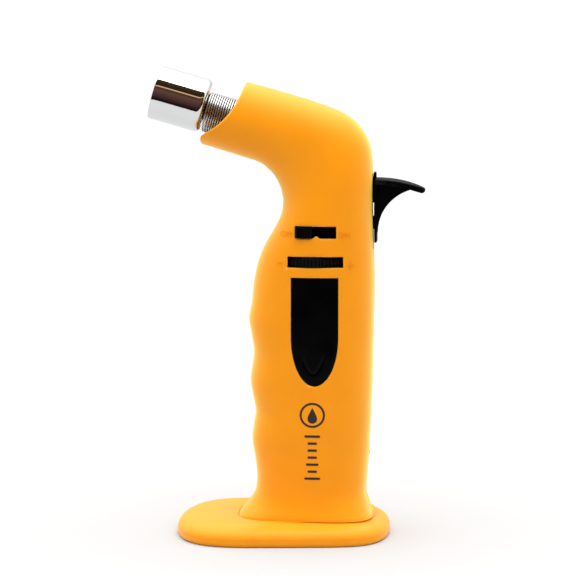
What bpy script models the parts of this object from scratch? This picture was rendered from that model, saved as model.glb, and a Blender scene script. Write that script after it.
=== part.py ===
"""Self-igniting micro torch on a detachable stand.

Frame: X runs from the flame (-X) to the thumb trigger (+X), Z is up, and the origin is
the middle of the stand's footprint. Sizes in this file are in millimetres, and MM turns
them into Blender's metres where a mesh, curve or object is made.
"""

import math

import bmesh
import bpy
from mathutils import Matrix, Vector

MM = 0.001

# ---- driving dimensions -------------------------------------------------------------
GAP = 0.3                       # air between two pieces that stand against each other
PARTING = GAP / 2 + 0.05        # how far pillars and ribs stop from the parting plane
WALL = 2.2                      # moulded casing wall
RING_POINTS = 24                # points round a section of the casing

# Stations of the casing, bottom to mouth: front x, front z, back x, back z, half width
# and roundness (2 is an ellipse). The front edge carries the three finger swells.
STATIONS = (
    (-17.2, 6.3, 32.8, 6.3, 19.3, 3.5),
    (-17.2, 8.1, 32.8, 8.1, 19.3, 3.5),
    (-15.8, 10.0, 32.0, 10.0, 18.8, 3.3),
    (-13.2, 12.8, 31.2, 12.8, 18.0, 3.0),
    (-11.2, 16.9, 30.4, 16.5, 17.5, 2.7),
    (-10.7, 23.0, 30.8, 23.0, 17.3, 2.7),
    (-11.5, 30.0, 31.3, 30.0, 17.2, 2.7),
    (-12.5, 36.5, 31.7, 36.8, 17.2, 2.7),
    (-11.9, 42.0, 32.0, 42.5, 17.2, 2.7),
    (-11.2, 47.0, 32.2, 48.0, 17.2, 2.7),
    (-12.2, 53.0, 32.4, 54.0, 17.2, 2.7),
    (-13.1, 58.8, 32.6, 60.0, 17.2, 2.7),
    (-12.4, 64.5, 32.7, 65.5, 17.2, 2.7),
    (-11.8, 70.0, 32.8, 71.0, 17.2, 2.7),
    (-12.8, 76.3, 33.0, 77.3, 17.2, 2.7),
    (-13.6, 82.3, 33.1, 83.5, 17.2, 2.7),
    (-12.6, 88.5, 33.2, 90.0, 17.2, 2.7),
    (-11.7, 96.5, 33.2, 98.0, 17.1, 2.7),
    (-10.1, 103.6, 33.0, 105.0, 17.0, 2.65),
    (-7.5, 110.0, 32.8, 112.5, 16.8, 2.6),
    (-4.3, 115.5, 32.5, 121.0, 16.5, 2.55),
    (-1.8, 120.5, 32.4, 130.0, 16.0, 2.5),
    (-0.9, 125.2, 32.4, 138.5, 15.5, 2.45),
    (-1.4, 129.2, 31.3, 146.8, 15.0, 2.4),
    (-2.7, 132.9, 28.2, 152.9, 14.5, 2.35),
    (-5.0, 136.4, 22.0, 158.4, 14.0, 2.25),
    (-9.4, 140.0, 10.5, 162.9, 13.7, 2.15),
    (-15.6, 142.2, -3.0, 166.9, 13.4, 2.05),
    (-23.0, 144.4, -14.5, 170.0, 13.2, 2.0),
    (-30.4, 146.6, -23.0, 172.2, 13.2, 2.0),
    (-38.0, 148.8, -31.0, 174.3, 13.2, 2.0),
)
# The mouth is scooped out of the head along an arc, its lower lip standing furthest out.
MOUTH_TOP, MOUTH_MID, MOUTH_LIP = (-14.9, 169.6), (-19.6, 159.8), (-30.0, 151.4)

# Burner line: rear face of the chrome nozzle, and its tilt above the horizontal.
NOZZLE_REAR = (-29.67, 160.62)
BURNER_TILT = 15.9
NOZZLE_RADIUS, NOZZLE_LENGTH, NOZZLE_WALL = 10.1, 20.0, 0.8
BURNER_TUBE_RADIUS = 4.95
ELECTRODE_UP = 3.2              # the spark electrode stands this far above the axis
COIL_RADIUS, COIL_WIRE, COIL_PITCH, COIL_TURNS, COIL_DROP = 7.25, 0.35, 0.875, 19, 1.65

# Stand.
STAND_MIDDLE, STAND_HALF_LENGTH, STAND_HALF_WIDTH, STAND_TAPER = -0.7, 40.0, 29.6, 4.5
STAND_TOP, RECESS_FLOOR, STAND_WALL = 8.0, 6.0, 2.0
STAND_EDGE = ((1.0, 0.0), (0.0, 1.0), (0.0, 3.2), (0.7, 4.8), (2.2, 6.1),
              (4.8, 7.1), (8.5, 7.7), (13.0, STAND_TOP))

# Tank, valve and flame wheel.
TANK_MIDDLE, TANK_HALF_DEPTH, TANK_HALF_WIDTH, TANK_WALL = 10.0, 14.4, 12.2, 1.6
TANK_BOTTOM, TANK_TOP = 15.5, 93.5
VALVE_X, VALVE_Y = 11.0, -1.7
WHEEL_RADIUS, WHEEL_LOW, WHEEL_HIGH, WHEEL_TEETH = 15.8, 103.2, 106.4, 40
FILL_X = 9.0

# Slots in the near side of the casing: low x, high x, low z, high z.
LOCK_SLOT = (4.55, 19.95, 113.5, 118.1)
WHEEL_SLOT = (1.9, 22.5, 102.7, 106.9)
LOCK_KNOB_LENGTH = 6.0

# Fuel window: middle x, half width, low z, start of the taper, top z.
WINDOW = (12.0, 8.8, 58.5, 76.5, 99.1)

# Trigger: back plate, thumb pad, and the slot that its tabs run in.
PLATE_X, PLATE_THICK, PLATE_HALF = 33.2, 0.9, 3.2
PAD_HALF, PAD_TAPER_X, PAD_TIP_X = 5.6, 38.0, 52.0
TRIGGER_SLOT = (108.0, 136.2)
PIEZO_X, PIEZO_HALF, PIEZO_LOW, PIEZO_HIGH = 22.2, 3.6, 108.5, 122.0
LEVER_X, LEVER_Z = 15.6, 119.15

# Screws that clamp the two casing halves: x, z.
SCREWS = ((27.6, 30.0), (27.6, 86.0), (-7.4, 31.0), (-8.4, 82.0), (22.0, 146.5))
SCREW_HEAD_Y, SCREW_HEAD_RADIUS, SCREW_HEAD_HEIGHT = 9.6, 2.0, 1.4
COUNTERBORE_Y, COUNTERBORE_RADIUS = 7.9, 2.7

YELLOW = (0.86, 0.29, 0.012)
DEEP_YELLOW = (0.90, 0.34, 0.02)
BLACK = (0.008, 0.008, 0.009)
BRASS = (0.62, 0.42, 0.13)
STEEL = (0.55, 0.55, 0.56)


# ---- scene and bookkeeping ----------------------------------------------------------
def clear_scene():
    for obj in list(bpy.data.objects):
        bpy.data.objects.remove(obj, do_unlink=True)


def new_collection(name):
    made = bpy.data.collections.new(name)
    bpy.context.scene.collection.children.link(made)
    return made


def material(name, color, roughness, metallic=0.0):
    made = bpy.data.materials.new(name)
    made.use_nodes = True
    shader = made.node_tree.nodes["Principled BSDF"]
    shader.inputs["Base Color"].default_value = (*color, 1.0)
    shader.inputs["Roughness"].default_value = roughness
    shader.inputs["Metallic"].default_value = metallic
    made.diffuse_color = (*color, 1.0)
    return made


clear_scene()
PARTS = new_collection("micro_torch")
CUTTERS = new_collection("cutters")


def joint_empty(name, x, y, z):
    """An empty on a moving body's joint axis, which its pieces are parented to."""
    empty = bpy.data.objects.new(name, None)
    empty.location = Vector((x, y, z)) * MM
    empty.empty_display_size = 0.01
    PARTS.objects.link(empty)
    return empty


def place(name, data, look=None, rig=None, where=None):
    """Links an object. Without a look it is a cutter, which is hidden in renders."""
    obj = bpy.data.objects.new(name, data)
    if look:
        PARTS.objects.link(obj)
        data.materials.append(look)
    else:
        CUTTERS.objects.link(obj)
        obj.hide_render = True
        obj.display_type = "WIRE"
    if rig:
        obj.parent = rig
        obj.matrix_parent_inverse = Matrix.Translation(-rig.location)
    if where:
        obj.matrix_basis = where
    return obj


def boolean(obj, other, operation="DIFFERENCE"):
    modifier = obj.modifiers.new(f"{operation.lower()} {other.name}", "BOOLEAN")
    modifier.operation = operation
    modifier.object = other
    modifier.solver = "EXACT"


def burner_frame(along=0.0, up=0.0):
    """Local +Z towards the flame and local +X upwards, from the nozzle's rear face."""
    tilt = math.radians(BURNER_TILT)
    forward = Vector((-math.cos(tilt), 0, math.sin(tilt)))
    upward = Vector((math.sin(tilt), 0, math.cos(tilt)))
    start = Vector((NOZZLE_REAR[0], 0, NOZZLE_REAR[1])) + forward * along + upward * up
    turn = Matrix.Rotation(-(math.pi / 2 - tilt), 4, "Y")
    return Matrix.Translation(start * MM) @ turn


def at(x, y, z):
    return Matrix.Translation(Vector((x, y, z)) * MM)


# ---- shapes -------------------------------------------------------------------------
def finished_mesh(name, bm, smooth=True):
    bmesh.ops.recalc_face_normals(bm, faces=bm.faces)
    bmesh.ops.scale(bm, vec=(MM, MM, MM), verts=bm.verts)
    mesh = bpy.data.meshes.new(name)
    bm.to_mesh(mesh)
    bm.free()
    if smooth:
        mesh.shade_smooth()
        mesh.set_sharp_from_angle(angle=math.radians(35))
    return mesh


def box(name, low, high, **kw):
    bm = bmesh.new()
    bmesh.ops.create_cube(bm, size=1.0)
    sides = [h - l for l, h in zip(low, high)]
    bmesh.ops.scale(bm, vec=sides, verts=bm.verts)
    bmesh.ops.translate(bm, vec=[(l + h) / 2 for l, h in zip(low, high)], verts=bm.verts)
    return place(name, finished_mesh(name, bm, smooth=False), **kw)


def rod(name, radius, low, high, axis="Z", middle=(0, 0), segments=14, **kw):
    """A cylinder from low to high along an axis; middle is its place on the other two."""
    bm = bmesh.new()
    bmesh.ops.create_cone(bm, cap_ends=True, segments=segments, radius1=radius,
                          radius2=radius, depth=high - low)
    bmesh.ops.translate(bm, vec=(0, 0, (low + high) / 2), verts=bm.verts)
    if axis == "Y":
        bmesh.ops.rotate(bm, matrix=Matrix.Rotation(-math.pi / 2, 3, "X"), verts=bm.verts)
        bmesh.ops.translate(bm, vec=(middle[0], 0, middle[1]), verts=bm.verts)
    else:
        bmesh.ops.translate(bm, vec=(middle[0], middle[1], 0), verts=bm.verts)
    return place(name, finished_mesh(name, bm), **kw)


def turned(name, profile, steps=18, **kw):
    """A profile of (radius, z), running down its outer side, turned about local Z."""
    bm = bmesh.new()
    points = [bm.verts.new((r * MM, 0, z * MM)) for r, z in profile]
    closed = profile[0][0] > 0
    for a, b in zip(points, points[1:] + points[:1] if closed else points[1:]):
        bm.edges.new((a, b))
    mesh = bpy.data.meshes.new(name)
    bm.to_mesh(mesh)
    bm.free()
    obj = place(name, mesh, **kw)
    screw = obj.modifiers.new("turn", "SCREW")
    screw.steps = screw.render_steps = steps
    screw.use_merge_vertices = True
    screw.merge_threshold = 1e-5
    screw.use_smooth_shade = True
    return obj


def loft(name, rings, **kw):
    """A closed skin through rings of equal length, with a face across each end."""
    bm = bmesh.new()
    rows = [[bm.verts.new(p) for p in ring] for ring in rings]
    for low, high in zip(rows, rows[1:]):
        for i in range(len(low)):
            j = (i + 1) % len(low)
            bm.faces.new((low[i], low[j], high[j], high[i]))
    bm.faces.new(rows[0])
    bm.faces.new(rows[-1])
    bmesh.ops.triangulate(bm, faces=bm.faces)
    return place(name, finished_mesh(name, bm), **kw)


def plate(name, outline, low, high, axis="Y", **kw):
    """A flat outline with a thickness: (x, z) outlines stand along Y, (x, y) lie on Z."""
    curve = bpy.data.curves.new(name, "CURVE")
    curve.dimensions = "2D"
    curve.fill_mode = "BOTH"
    curve.extrude = (high - low) / 2 * MM
    spline = curve.splines.new("POLY")
    spline.points.add(len(outline) - 1)
    for point, (x, y) in zip(spline.points, outline):
        point.co = (x * MM, y * MM, 0, 1)
    spline.use_cyclic_u = True
    turn = Matrix.Rotation(math.pi / 2, 4, "X") if axis == "Y" else Matrix()
    middle = (low + high) / 2
    shift = at(0, middle, 0) if axis == "Y" else at(0, 0, middle)
    return place(name, as_mesh(name, curve, shift @ turn), **kw)


def as_mesh(name, curve, matrix):
    """A curve's solid as a welded mesh with its matrix applied, so that it can be cut."""
    guide = bpy.data.objects.new(name + "_guide", curve)
    bpy.context.scene.collection.objects.link(guide)
    graph = bpy.context.evaluated_depsgraph_get()
    mesh = bpy.data.meshes.new_from_object(guide.evaluated_get(graph))
    mesh.name = name
    bpy.data.objects.remove(guide, do_unlink=True)
    bm = bmesh.new()
    bm.from_mesh(mesh)
    bmesh.ops.remove_doubles(bm, verts=bm.verts, dist=1e-6)
    bmesh.ops.transform(bm, matrix=matrix, verts=bm.verts)
    bmesh.ops.recalc_face_normals(bm, faces=bm.faces)
    bm.to_mesh(mesh)
    bm.free()
    mesh.shade_smooth()
    mesh.set_sharp_from_angle(angle=math.radians(35))
    return mesh


def wire(name, points, radius, sides=2, **kw):
    """A round wire through the points, with filled ends."""
    curve = bpy.data.curves.new(name, "CURVE")
    curve.dimensions = "3D"
    curve.bevel_depth = radius * MM
    curve.bevel_resolution = sides
    curve.use_fill_caps = True
    spline = curve.splines.new("POLY")
    spline.points.add(len(points) - 1)
    for point, place_ in zip(spline.points, points):
        point.co = (*(Vector(place_) * MM), 1)
    return place(name, curve, **kw)


def helix(radius, low, high, turns, x=0.0, y=0.0, per_turn=12):
    count = int(turns * per_turn)
    return [(x + radius * math.cos(2 * math.pi * i / per_turn),
             y + radius * math.sin(2 * math.pi * i / per_turn),
             low + (high - low) * i / count) for i in range(count + 1)]


def smooth_rows(rows, per_span):
    """Rows of numbers on a Catmull-Rom curve through the rows given."""
    rows = [list(r) for r in rows]
    rows = ([[2 * p - q for p, q in zip(rows[0], rows[1])]] + rows
            + [[2 * p - q for p, q in zip(rows[-1], rows[-2])]])
    made = []
    for a, b, c, d in zip(rows, rows[1:], rows[2:], rows[3:]):
        for step in range(per_span):
            t = step / per_span
            made.append([0.5 * (2 * q + (r - p) * t + (2 * p - 5 * q + 4 * r - s) * t ** 2
                                + (3 * q - p - 3 * r + s) * t ** 3)
                         for p, q, r, s in zip(a, b, c, d)])
    return made + [rows[-2]]


def superellipse(angle, half_x, half_y, roundness):
    c, s = abs(math.cos(angle)) / half_x, abs(math.sin(angle)) / half_y
    reach = (c ** roundness + s ** roundness) ** (-1 / roundness)
    return reach * math.cos(angle), reach * math.sin(angle)


def oval_ring(x, half_x, half_y, z, roundness=2.6, count=32):
    ring = []
    for i in range(count):
        u, v = superellipse(2 * math.pi * i / count, half_x, half_y, roundness)
        ring.append((x + u, v, z))
    return ring


def arc_through(start, middle, end, count):
    """Points from start to end on the circle through three points, as (x, z) pairs."""
    (ax, ay), (bx, by), (cx, cy) = start, middle, end
    d = 2 * (ax * (by - cy) + bx * (cy - ay) + cx * (ay - by))
    a2, b2, c2 = ax * ax + ay * ay, bx * bx + by * by, cx * cx + cy * cy
    ox = (a2 * (by - cy) + b2 * (cy - ay) + c2 * (ay - by)) / d
    oy = (a2 * (cx - bx) + b2 * (ax - cx) + c2 * (bx - ax)) / d
    radius = math.hypot(ax - ox, ay - oy)
    first, last = math.atan2(ay - oy, ax - ox), math.atan2(cy - oy, cx - ox)
    if last - first > math.pi:
        last -= 2 * math.pi
    if first - last > math.pi:
        last += 2 * math.pi
    angles = [first + (last - first) * i / (count - 1) for i in range(count)]
    return [(ox + radius * math.cos(t), oy + radius * math.sin(t)) for t in angles]


# ---- casing -------------------------------------------------------------------------
def station_point(station, angle, inset):
    """A point on a station's outline; angle 0 is the back edge and pi the front edge."""
    fx, fz, bx, bz, half_width, roundness = station
    front, back = Vector((fx, 0, fz)), Vector((bx, 0, bz))
    half_depth = (back - front).length / 2 - inset
    u, v = superellipse(angle, half_depth, half_width - inset, roundness)
    return (front + back) / 2 + (back - front).normalized() * u + Vector((0, v, 0))


def casing_core(name, inset):
    """The whole casing as one solid, inset from its outer surface."""
    rings = [[station_point(s, 2 * math.pi * i / RING_POINTS, inset)
              for i in range(RING_POINTS)] for s in STATIONS]
    return loft(name, rings)


def half_shell(name, side, look, rig):
    """One clamshell half: side -1 is the near half and +1 the far half."""
    half = RING_POINTS // 2
    rings = []
    for s in STATIONS:
        outer = [station_point(s, side * math.pi * i / half, 0) for i in range(half + 1)]
        inner = [station_point(s, side * math.pi * i / half, WALL) for i in range(half + 1)]
        ring = outer + inner[::-1]
        rings.append([(p.x, side * max(abs(p.y), GAP / 2), p.z) for p in ring])
    return loft(name, rings, look=look, rig=rig)


def mouth_cutter():
    scoop = arc_through(MOUTH_TOP, MOUTH_MID, MOUTH_LIP, 9)
    outline = [(-12.6, 176.0)] + scoop + [(-32.4, 149.9), (-33.2, 143.0), (-60.0, 143.0),
                                          (-60.0, 190.0), (-12.6, 190.0)]
    return plate("mouth_cutter", outline, -20, 20)


def along_y(x, z):
    """A placement whose local +Z is the row's +Y."""
    return at(x, 0, z) @ Matrix.Rotation(-math.pi / 2, 4, "X")


def screw_boss(x, z, side):
    """A pillar for one screw, from the parting plane into the wall, wider at the head."""
    name = f"boss_{'near' if side < 0 else 'far'}_{x:.0f}_{z:.0f}"
    if side < 0:
        profile = ((0.0, -10.0), (1.3, -10.0), (1.3, -PARTING), (2.6, -PARTING), (2.6, -18.0),
                   (0.0, -18.0))
    else:
        wide = COUNTERBORE_RADIUS + 1.0
        step = COUNTERBORE_Y - 1.5
        profile = ((0.0, 18.0), (wide, 18.0), (wide, step), (2.6, step), (2.6, PARTING),
                   (0.0, PARTING))
    return turned(name, profile, steps=14, where=along_y(x, z))


def casing_half(side, core, mouth, look, rig):
    name = "housing_left" if side < 0 else "housing_right"
    shell = half_shell(name, side, look, rig)
    tag = "near" if side < 0 else "far"
    fittings = []
    for x, z in SCREWS:
        fittings.append(screw_boss(x, z, side))
    if side < 0:
        fittings.append(box("spring_shelf", (18.5, -17.0, 108.0), (25.5, -4.2, 109.6)))
    else:
        fittings.append(box("piezo_shelf", (17.5, 0.4, 106.8), (26.5, 17.0, 108.2)))
        fittings.append(box("valve_shelf", (6.0, -4.5, 126.4), (15.5, 17.0, 128.0)))
        fittings.append(turned("pin_boss", ((0.0, 17.0), (2.3, 17.0), (2.3, 9.0),
                                            (1.1, 9.0), (1.1, 12.0), (0.0, 12.0)),
                               steps=14, where=along_y(LEVER_X, LEVER_Z)))
    collar = turned(f"burner_collar_{tag}", ((15.0, 1.0), (15.0, -1.0), (5.4, -1.0), (5.4, 1.0)),
                    where=burner_frame(-20.0))
    limits = (-20.0, -PARTING) if side < 0 else (PARTING, 20.0)
    keep = box(f"collar_side_{tag}", (-40, limits[0], 130), (30, limits[1], 180))
    boolean(collar, keep, "INTERSECT")
    fittings.append(collar)
    for fitting in fittings:
        boolean(fitting, core, "INTERSECT")
        boolean(shell, fitting, "UNION")
    boolean(shell, mouth)
    boolean(shell, box(f"trigger_slot_{tag}", (27.0, -2.1, TRIGGER_SLOT[0]),
                       (36.0, 2.1, TRIGGER_SLOT[1])))
    for index, (x, z) in enumerate(SCREWS):
        if side > 0:
            boolean(shell, rod(f"clearance_{index}", 1.5, -1.0, 12.0, axis="Y",
                               middle=(x, z), segments=12))
            boolean(shell, rod(f"counterbore_{index}", COUNTERBORE_RADIUS, COUNTERBORE_Y, 22.0,
                               axis="Y", middle=(x, z), segments=16))
    if side < 0:
        boolean(shell, plate("window_cutter", window_outline(0.0), -22, -13.4))
        low_x, high_x, low_z, high_z = LOCK_SLOT
        boolean(shell, box("lock_slot", (low_x, -22, low_z), (high_x, -9.0, high_z)))
        low_x, high_x, low_z, high_z = WHEEL_SLOT
        boolean(shell, box("wheel_slot", (low_x, -22, low_z), (high_x, -9.0, high_z)))
        boolean(shell, rod("wheel_relief", WHEEL_RADIUS + 0.5, low_z + 0.1, high_z - 0.1,
                           segments=48, middle=(VALVE_X, VALVE_Y)))
    return shell


def window_outline(inset):
    """A flat top and straight sides that taper to a pointed round bottom, as (x, z)."""
    middle, half, low, taper, high = WINDOW
    half, low, high = half - inset, low + inset, high - inset
    count = 10
    arc = [(middle + half * math.cos(math.pi * i / count),
            taper - (taper - low) * math.sin(math.pi * i / count)) for i in range(count + 1)]
    return [(middle - half, high), (middle + half, high)] + arc


def fuel_window(core, look, rig):
    """A smoked panel that fills the opening in the near half and follows its surface."""
    panel = plate("fuel_window", window_outline(GAP), -22, -14.0, look=look, rig=rig)
    boolean(panel, core, "INTERSECT")
    return panel


def bottom_plate(look, rig):
    """Closes the casing under the tank, with a hole for the filling valve."""
    first = STATIONS[0]
    middle, half = (first[0] + first[2]) / 2, (first[2] - first[0]) / 2
    inset = WALL + GAP + 0.2
    rings = [oval_ring(middle, half - inset, first[4] - inset, z, first[5]) for z in (6.6, 8.1)]
    made = loft("bottom_plate", rings, look=look, rig=rig)
    boolean(made, rod("bottom_plate_hole", 5.6, 5.0, 10.0, middle=(FILL_X, 0)))
    return made


# ---- stand --------------------------------------------------------------------------
def stand_ring(inset, z, count=44):
    """The stand's egg outline, broad under the flame and squarer at the back."""
    ring = []
    for i in range(count):
        angle = 2 * math.pi * i / count
        along = math.cos(angle)
        power = 7.0 if along > 0 else 3.6
        width = (1 - abs(along) ** power) ** 0.471 * (STAND_HALF_WIDTH - STAND_TAPER * along)
        shrink = 1 - inset / STAND_HALF_LENGTH
        side = math.copysign(width, math.sin(angle)) if i % (count // 2) else 0.0
        ring.append((STAND_MIDDLE + STAND_HALF_LENGTH * shrink * along,
                     side * (1 - inset / STAND_HALF_WIDTH), z))
    return ring


def stand_base(look):
    made = loft("stand_base", [stand_ring(inset, z) for inset, z in STAND_EDGE], look=look)
    flange = STATIONS[0]
    middle, half = (flange[0] + flange[2]) / 2, (flange[2] - flange[0]) / 2 + GAP
    recess = [oval_ring(middle, half, flange[4] + GAP, z, flange[5])
              for z in (RECESS_FLOOR, STAND_TOP + 5)]
    boolean(made, loft("stand_recess", recess))
    hollow = [stand_ring(STAND_WALL, z) for z in (-2.0, 2.0)]
    hollow.append(stand_ring(STAND_WALL + 2.5, 3.9))
    boolean(made, loft("stand_hollow", hollow))
    ribs = [box("rib_long", (-36, -1.2, 0), (35, 1.2, 4.4))]
    for index, x in enumerate((-20.0, 0.0, 20.0)):
        ribs.append(box(f"rib_cross_{index}", (x - 1.2, -25, 0), (x + 1.2, 25, 4.4)))
    inside = loft("stand_inside", [stand_ring(1.2, z) for z in (-1.0, 4.6)])
    for rib in ribs:
        boolean(rib, inside, "INTERSECT")
        boolean(made, rib, "UNION")
    return made


# ---- burner -------------------------------------------------------------------------
def burner_nozzle(look, rig):
    """Chrome cup: open towards the flame, with a rounded shoulder at its rear."""
    r, wall, length = NOZZLE_RADIUS, NOZZLE_WALL, NOZZLE_LENGTH
    hole, turn = BURNER_TUBE_RADIUS + GAP, 2.2
    shoulder = [(r - turn + turn * math.cos(a), turn - turn * math.sin(a))
                for a in [math.pi / 2 * i / 4 for i in range(5)]]
    profile = ([(r - 0.25, length), (r, length - 0.3)] + shoulder
               + [(hole, 0.0), (hole, 1.5), (r - turn, 1.5), (r - wall, turn + 0.6),
                  (r - wall, length)])
    return turned("burner_nozzle", profile, steps=28, look=look, rig=rig,
                  where=burner_frame())


def burner_pieces(looks, rig):
    tube = BURNER_TUBE_RADIUS
    turned("burner_tube", ((tube, 6.5), (tube, -31.0), (tube - 0.6, -31.0), (tube - 0.6, 6.5)),
           look=looks["steel"], rig=rig, where=burner_frame())
    holder = turned("flame_holder", ((9.0, 6.2), (9.0, 4.8), (tube + GAP, 4.8), (tube + GAP, 6.2)),
                    look=looks["steel"], rig=rig, where=burner_frame(), steps=24)
    for index in range(8):
        angle = 2 * math.pi * (index + 0.37) / 8
        boolean(holder, rod(f"air_hole_{index}", 0.9, 3.0, 8.0, segments=10,
                            middle=(7.2 * math.cos(angle), 7.2 * math.sin(angle)),
                            where=burner_frame()))
    tip = turned("burner_tip", ((0.0, 5.6), (4.1, 5.6), (4.1, 4.4), (0.0, 4.4)),
                 look=looks["brass"], rig=rig, where=burner_frame())
    for index in range(6):
        angle = 2 * math.pi * index / 6
        boolean(tip, rod(f"flame_hole_{index}", 0.6, 3.0, 8.0, segments=8,
                         middle=(1.9 * math.cos(angle), 1.9 * math.sin(angle)),
                         where=burner_frame()))
    boolean(tip, rod("electrode_notch", 1.3, 3.0, 8.0, segments=12, middle=(ELECTRODE_UP, 0),
                     where=burner_frame()))
    holder_disc = turned("jet_holder", ((tube, -31.3), (tube, -34.0), (2.3, -34.0), (2.3, -31.3)),
                         look=looks["brass"], rig=rig, where=burner_frame())
    boolean(holder_disc, rod("electrode_passage", 1.3, -36.0, -29.0, segments=12,
                             middle=(ELECTRODE_UP, 0), where=burner_frame()))
    turned("gas_jet", ((0.5, -28.0), (2.0, -29.0), (2.0, -36.5), (1.1, -36.5),
                       (1.1, -30.5), (0.5, -30.0)),
           look=looks["brass"], rig=rig, where=burner_frame(), steps=16)
    turned("electrode_insulator", ((0.6, 3.6), (1.0, 3.0), (1.0, -36.0), (0.6, -36.0)),
           look=looks["ceramic"], rig=rig, where=burner_frame(up=ELECTRODE_UP), steps=12)
    rod("ignition_electrode", 0.3, -37.0, 9.0, segments=10, look=looks["steel"], rig=rig,
        where=burner_frame(up=ELECTRODE_UP))
    coil = helix(COIL_RADIUS, -GAP - COIL_WIRE - COIL_PITCH * COIL_TURNS, -GAP - COIL_WIRE,
                 COIL_TURNS, per_turn=9)
    wire("neck_coil", coil, COIL_WIRE, sides=1, look=looks["steel"], rig=rig,
         where=burner_frame(up=-COIL_DROP))


# ---- tank, valves and flame wheel ---------------------------------------------------
def tank_ring(z, grow, middle=TANK_MIDDLE):
    return oval_ring(middle, TANK_HALF_DEPTH + grow, TANK_HALF_WIDTH + grow, z, count=28)


def fuel_tank(looks, rig):
    tank = loft("fuel_tank", [tank_ring(TANK_BOTTOM, -1.5), tank_ring(TANK_BOTTOM + 1.5, 0),
                              tank_ring(TANK_TOP, 0)], look=looks["tank"], rig=rig)
    inside = loft("tank_inside", [tank_ring(TANK_BOTTOM + TANK_WALL, -TANK_WALL - 1),
                                  tank_ring(TANK_BOTTOM + TANK_WALL + 1, -TANK_WALL),
                                  tank_ring(TANK_TOP + 2, -TANK_WALL)])
    boolean(tank, inside)
    boolean(tank, rod("fill_hole", 3.8, 10.0, 20.0, middle=(FILL_X, 0)))
    gasket = loft("tank_gasket", [tank_ring(TANK_TOP + GAP, 0), tank_ring(TANK_TOP + 1.1, 0)],
                  look=looks["rubber"], rig=rig)
    boolean(gasket, loft("gasket_inside", [tank_ring(TANK_TOP - 1, -2.2),
                                           tank_ring(TANK_TOP + 3, -2.2)]))
    cap = loft("tank_cap", [tank_ring(TANK_TOP + 1.4, 0), tank_ring(TANK_TOP + 3.7, 0)],
               look=looks["tank"], rig=rig)
    boolean(cap, rod("valve_hole", 4.8, 90.0, 100.0, middle=(VALVE_X, VALVE_Y)))


def gas_valve(looks, rig, stem_rig, wheel_rig):
    axis = at(VALVE_X, VALVE_Y, 0)
    turned("valve_body", ((3.4, 110.0), (3.4, 101.7), (6.2, 101.7), (6.2, 100.3), (4.5, 100.3),
                          (4.5, 88.0), (1.0, 88.0), (1.0, 103.0), (1.9, 103.0), (1.9, 110.0)),
           look=looks["brass"], rig=rig, where=axis)
    turned("valve_seal", [(4.6 + 0.55 * math.cos(a), 102.5 + 0.55 * math.sin(a))
                          for a in [math.pi / 2 - 2 * math.pi * i / 8 for i in range(8)]],
           look=looks["rubber"], rig=rig, where=axis)
    turned("valve_stem", ((0.6, 122.0), (1.5, 122.0), (1.5, 121.4), (2.2, 121.4),
                          (2.2, 120.2), (1.5, 120.2), (1.5, 104.2), (0.6, 104.2)),
           look=looks["brass"], rig=stem_rig, where=axis, steps=20)
    wire("valve_spring", helix(2.5, 122.0, 125.7, 3, VALVE_X, VALVE_Y, 10), 0.3, sides=1,
         look=looks["steel"], rig=rig)
    teeth = []
    for index in range(WHEEL_TEETH):
        for radius, offset in ((WHEEL_RADIUS - 0.5, 0.0), (WHEEL_RADIUS, 0.35),
                               (WHEEL_RADIUS, 0.65)):
            angle = 2 * math.pi * (index + offset) / WHEEL_TEETH
            teeth.append((VALVE_X + radius * math.cos(angle), VALVE_Y + radius * math.sin(angle)))
    wheel = plate("flame_wheel", teeth, WHEEL_LOW, WHEEL_HIGH, axis="Z", look=looks["black"],
                  rig=wheel_rig)
    boolean(wheel, rod("wheel_bore", 3.7, 100.0, 110.0, middle=(VALVE_X, VALVE_Y)))


def fill_valve(looks, rig, stem_rig):
    axis = at(FILL_X, 0, 0)
    turned("fill_valve_body", ((3.5, 20.0), (3.5, 15.2), (5.0, 15.2), (5.0, 13.0), (3.5, 13.0),
                               (3.5, 8.6), (2.4, 8.6), (2.4, 18.0), (1.3, 18.0), (1.3, 20.0)),
           look=looks["brass"], rig=rig, where=axis)
    turned("fill_valve_stem", ((0.0, 21.0), (0.9, 21.0), (0.9, 11.0), (2.0, 11.0), (2.0, 9.0),
                               (0.0, 9.0)),
           look=looks["brass"], rig=stem_rig, where=axis, steps=16)
    wire("fill_valve_spring", helix(1.6, 11.6, 17.4, 5, FILL_X, 0, 10), 0.25, sides=1,
         look=looks["steel"], rig=rig)


def gas_tube(look, rig):
    """From the valve's side outlet up past the near side to the jet."""
    jet = burner_frame(-37.2).translation / MM
    route = ((VALVE_X - 0.6, VALVE_Y - 4.2, 108.2), (9.6, -7.4, 109.4), (9.0, -7.9, 114.6),
             (8.0, -7.9, 128.0), (9.6, -6.0, 140.0), (11.0, -2.4, 145.4),
             (jet.x + 3.0, 0.0, jet.z - 0.6), (jet.x, 0.0, jet.z))
    wire("gas_tube", smooth_rows(route, 4), 1.25, look=look, rig=rig)


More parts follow.
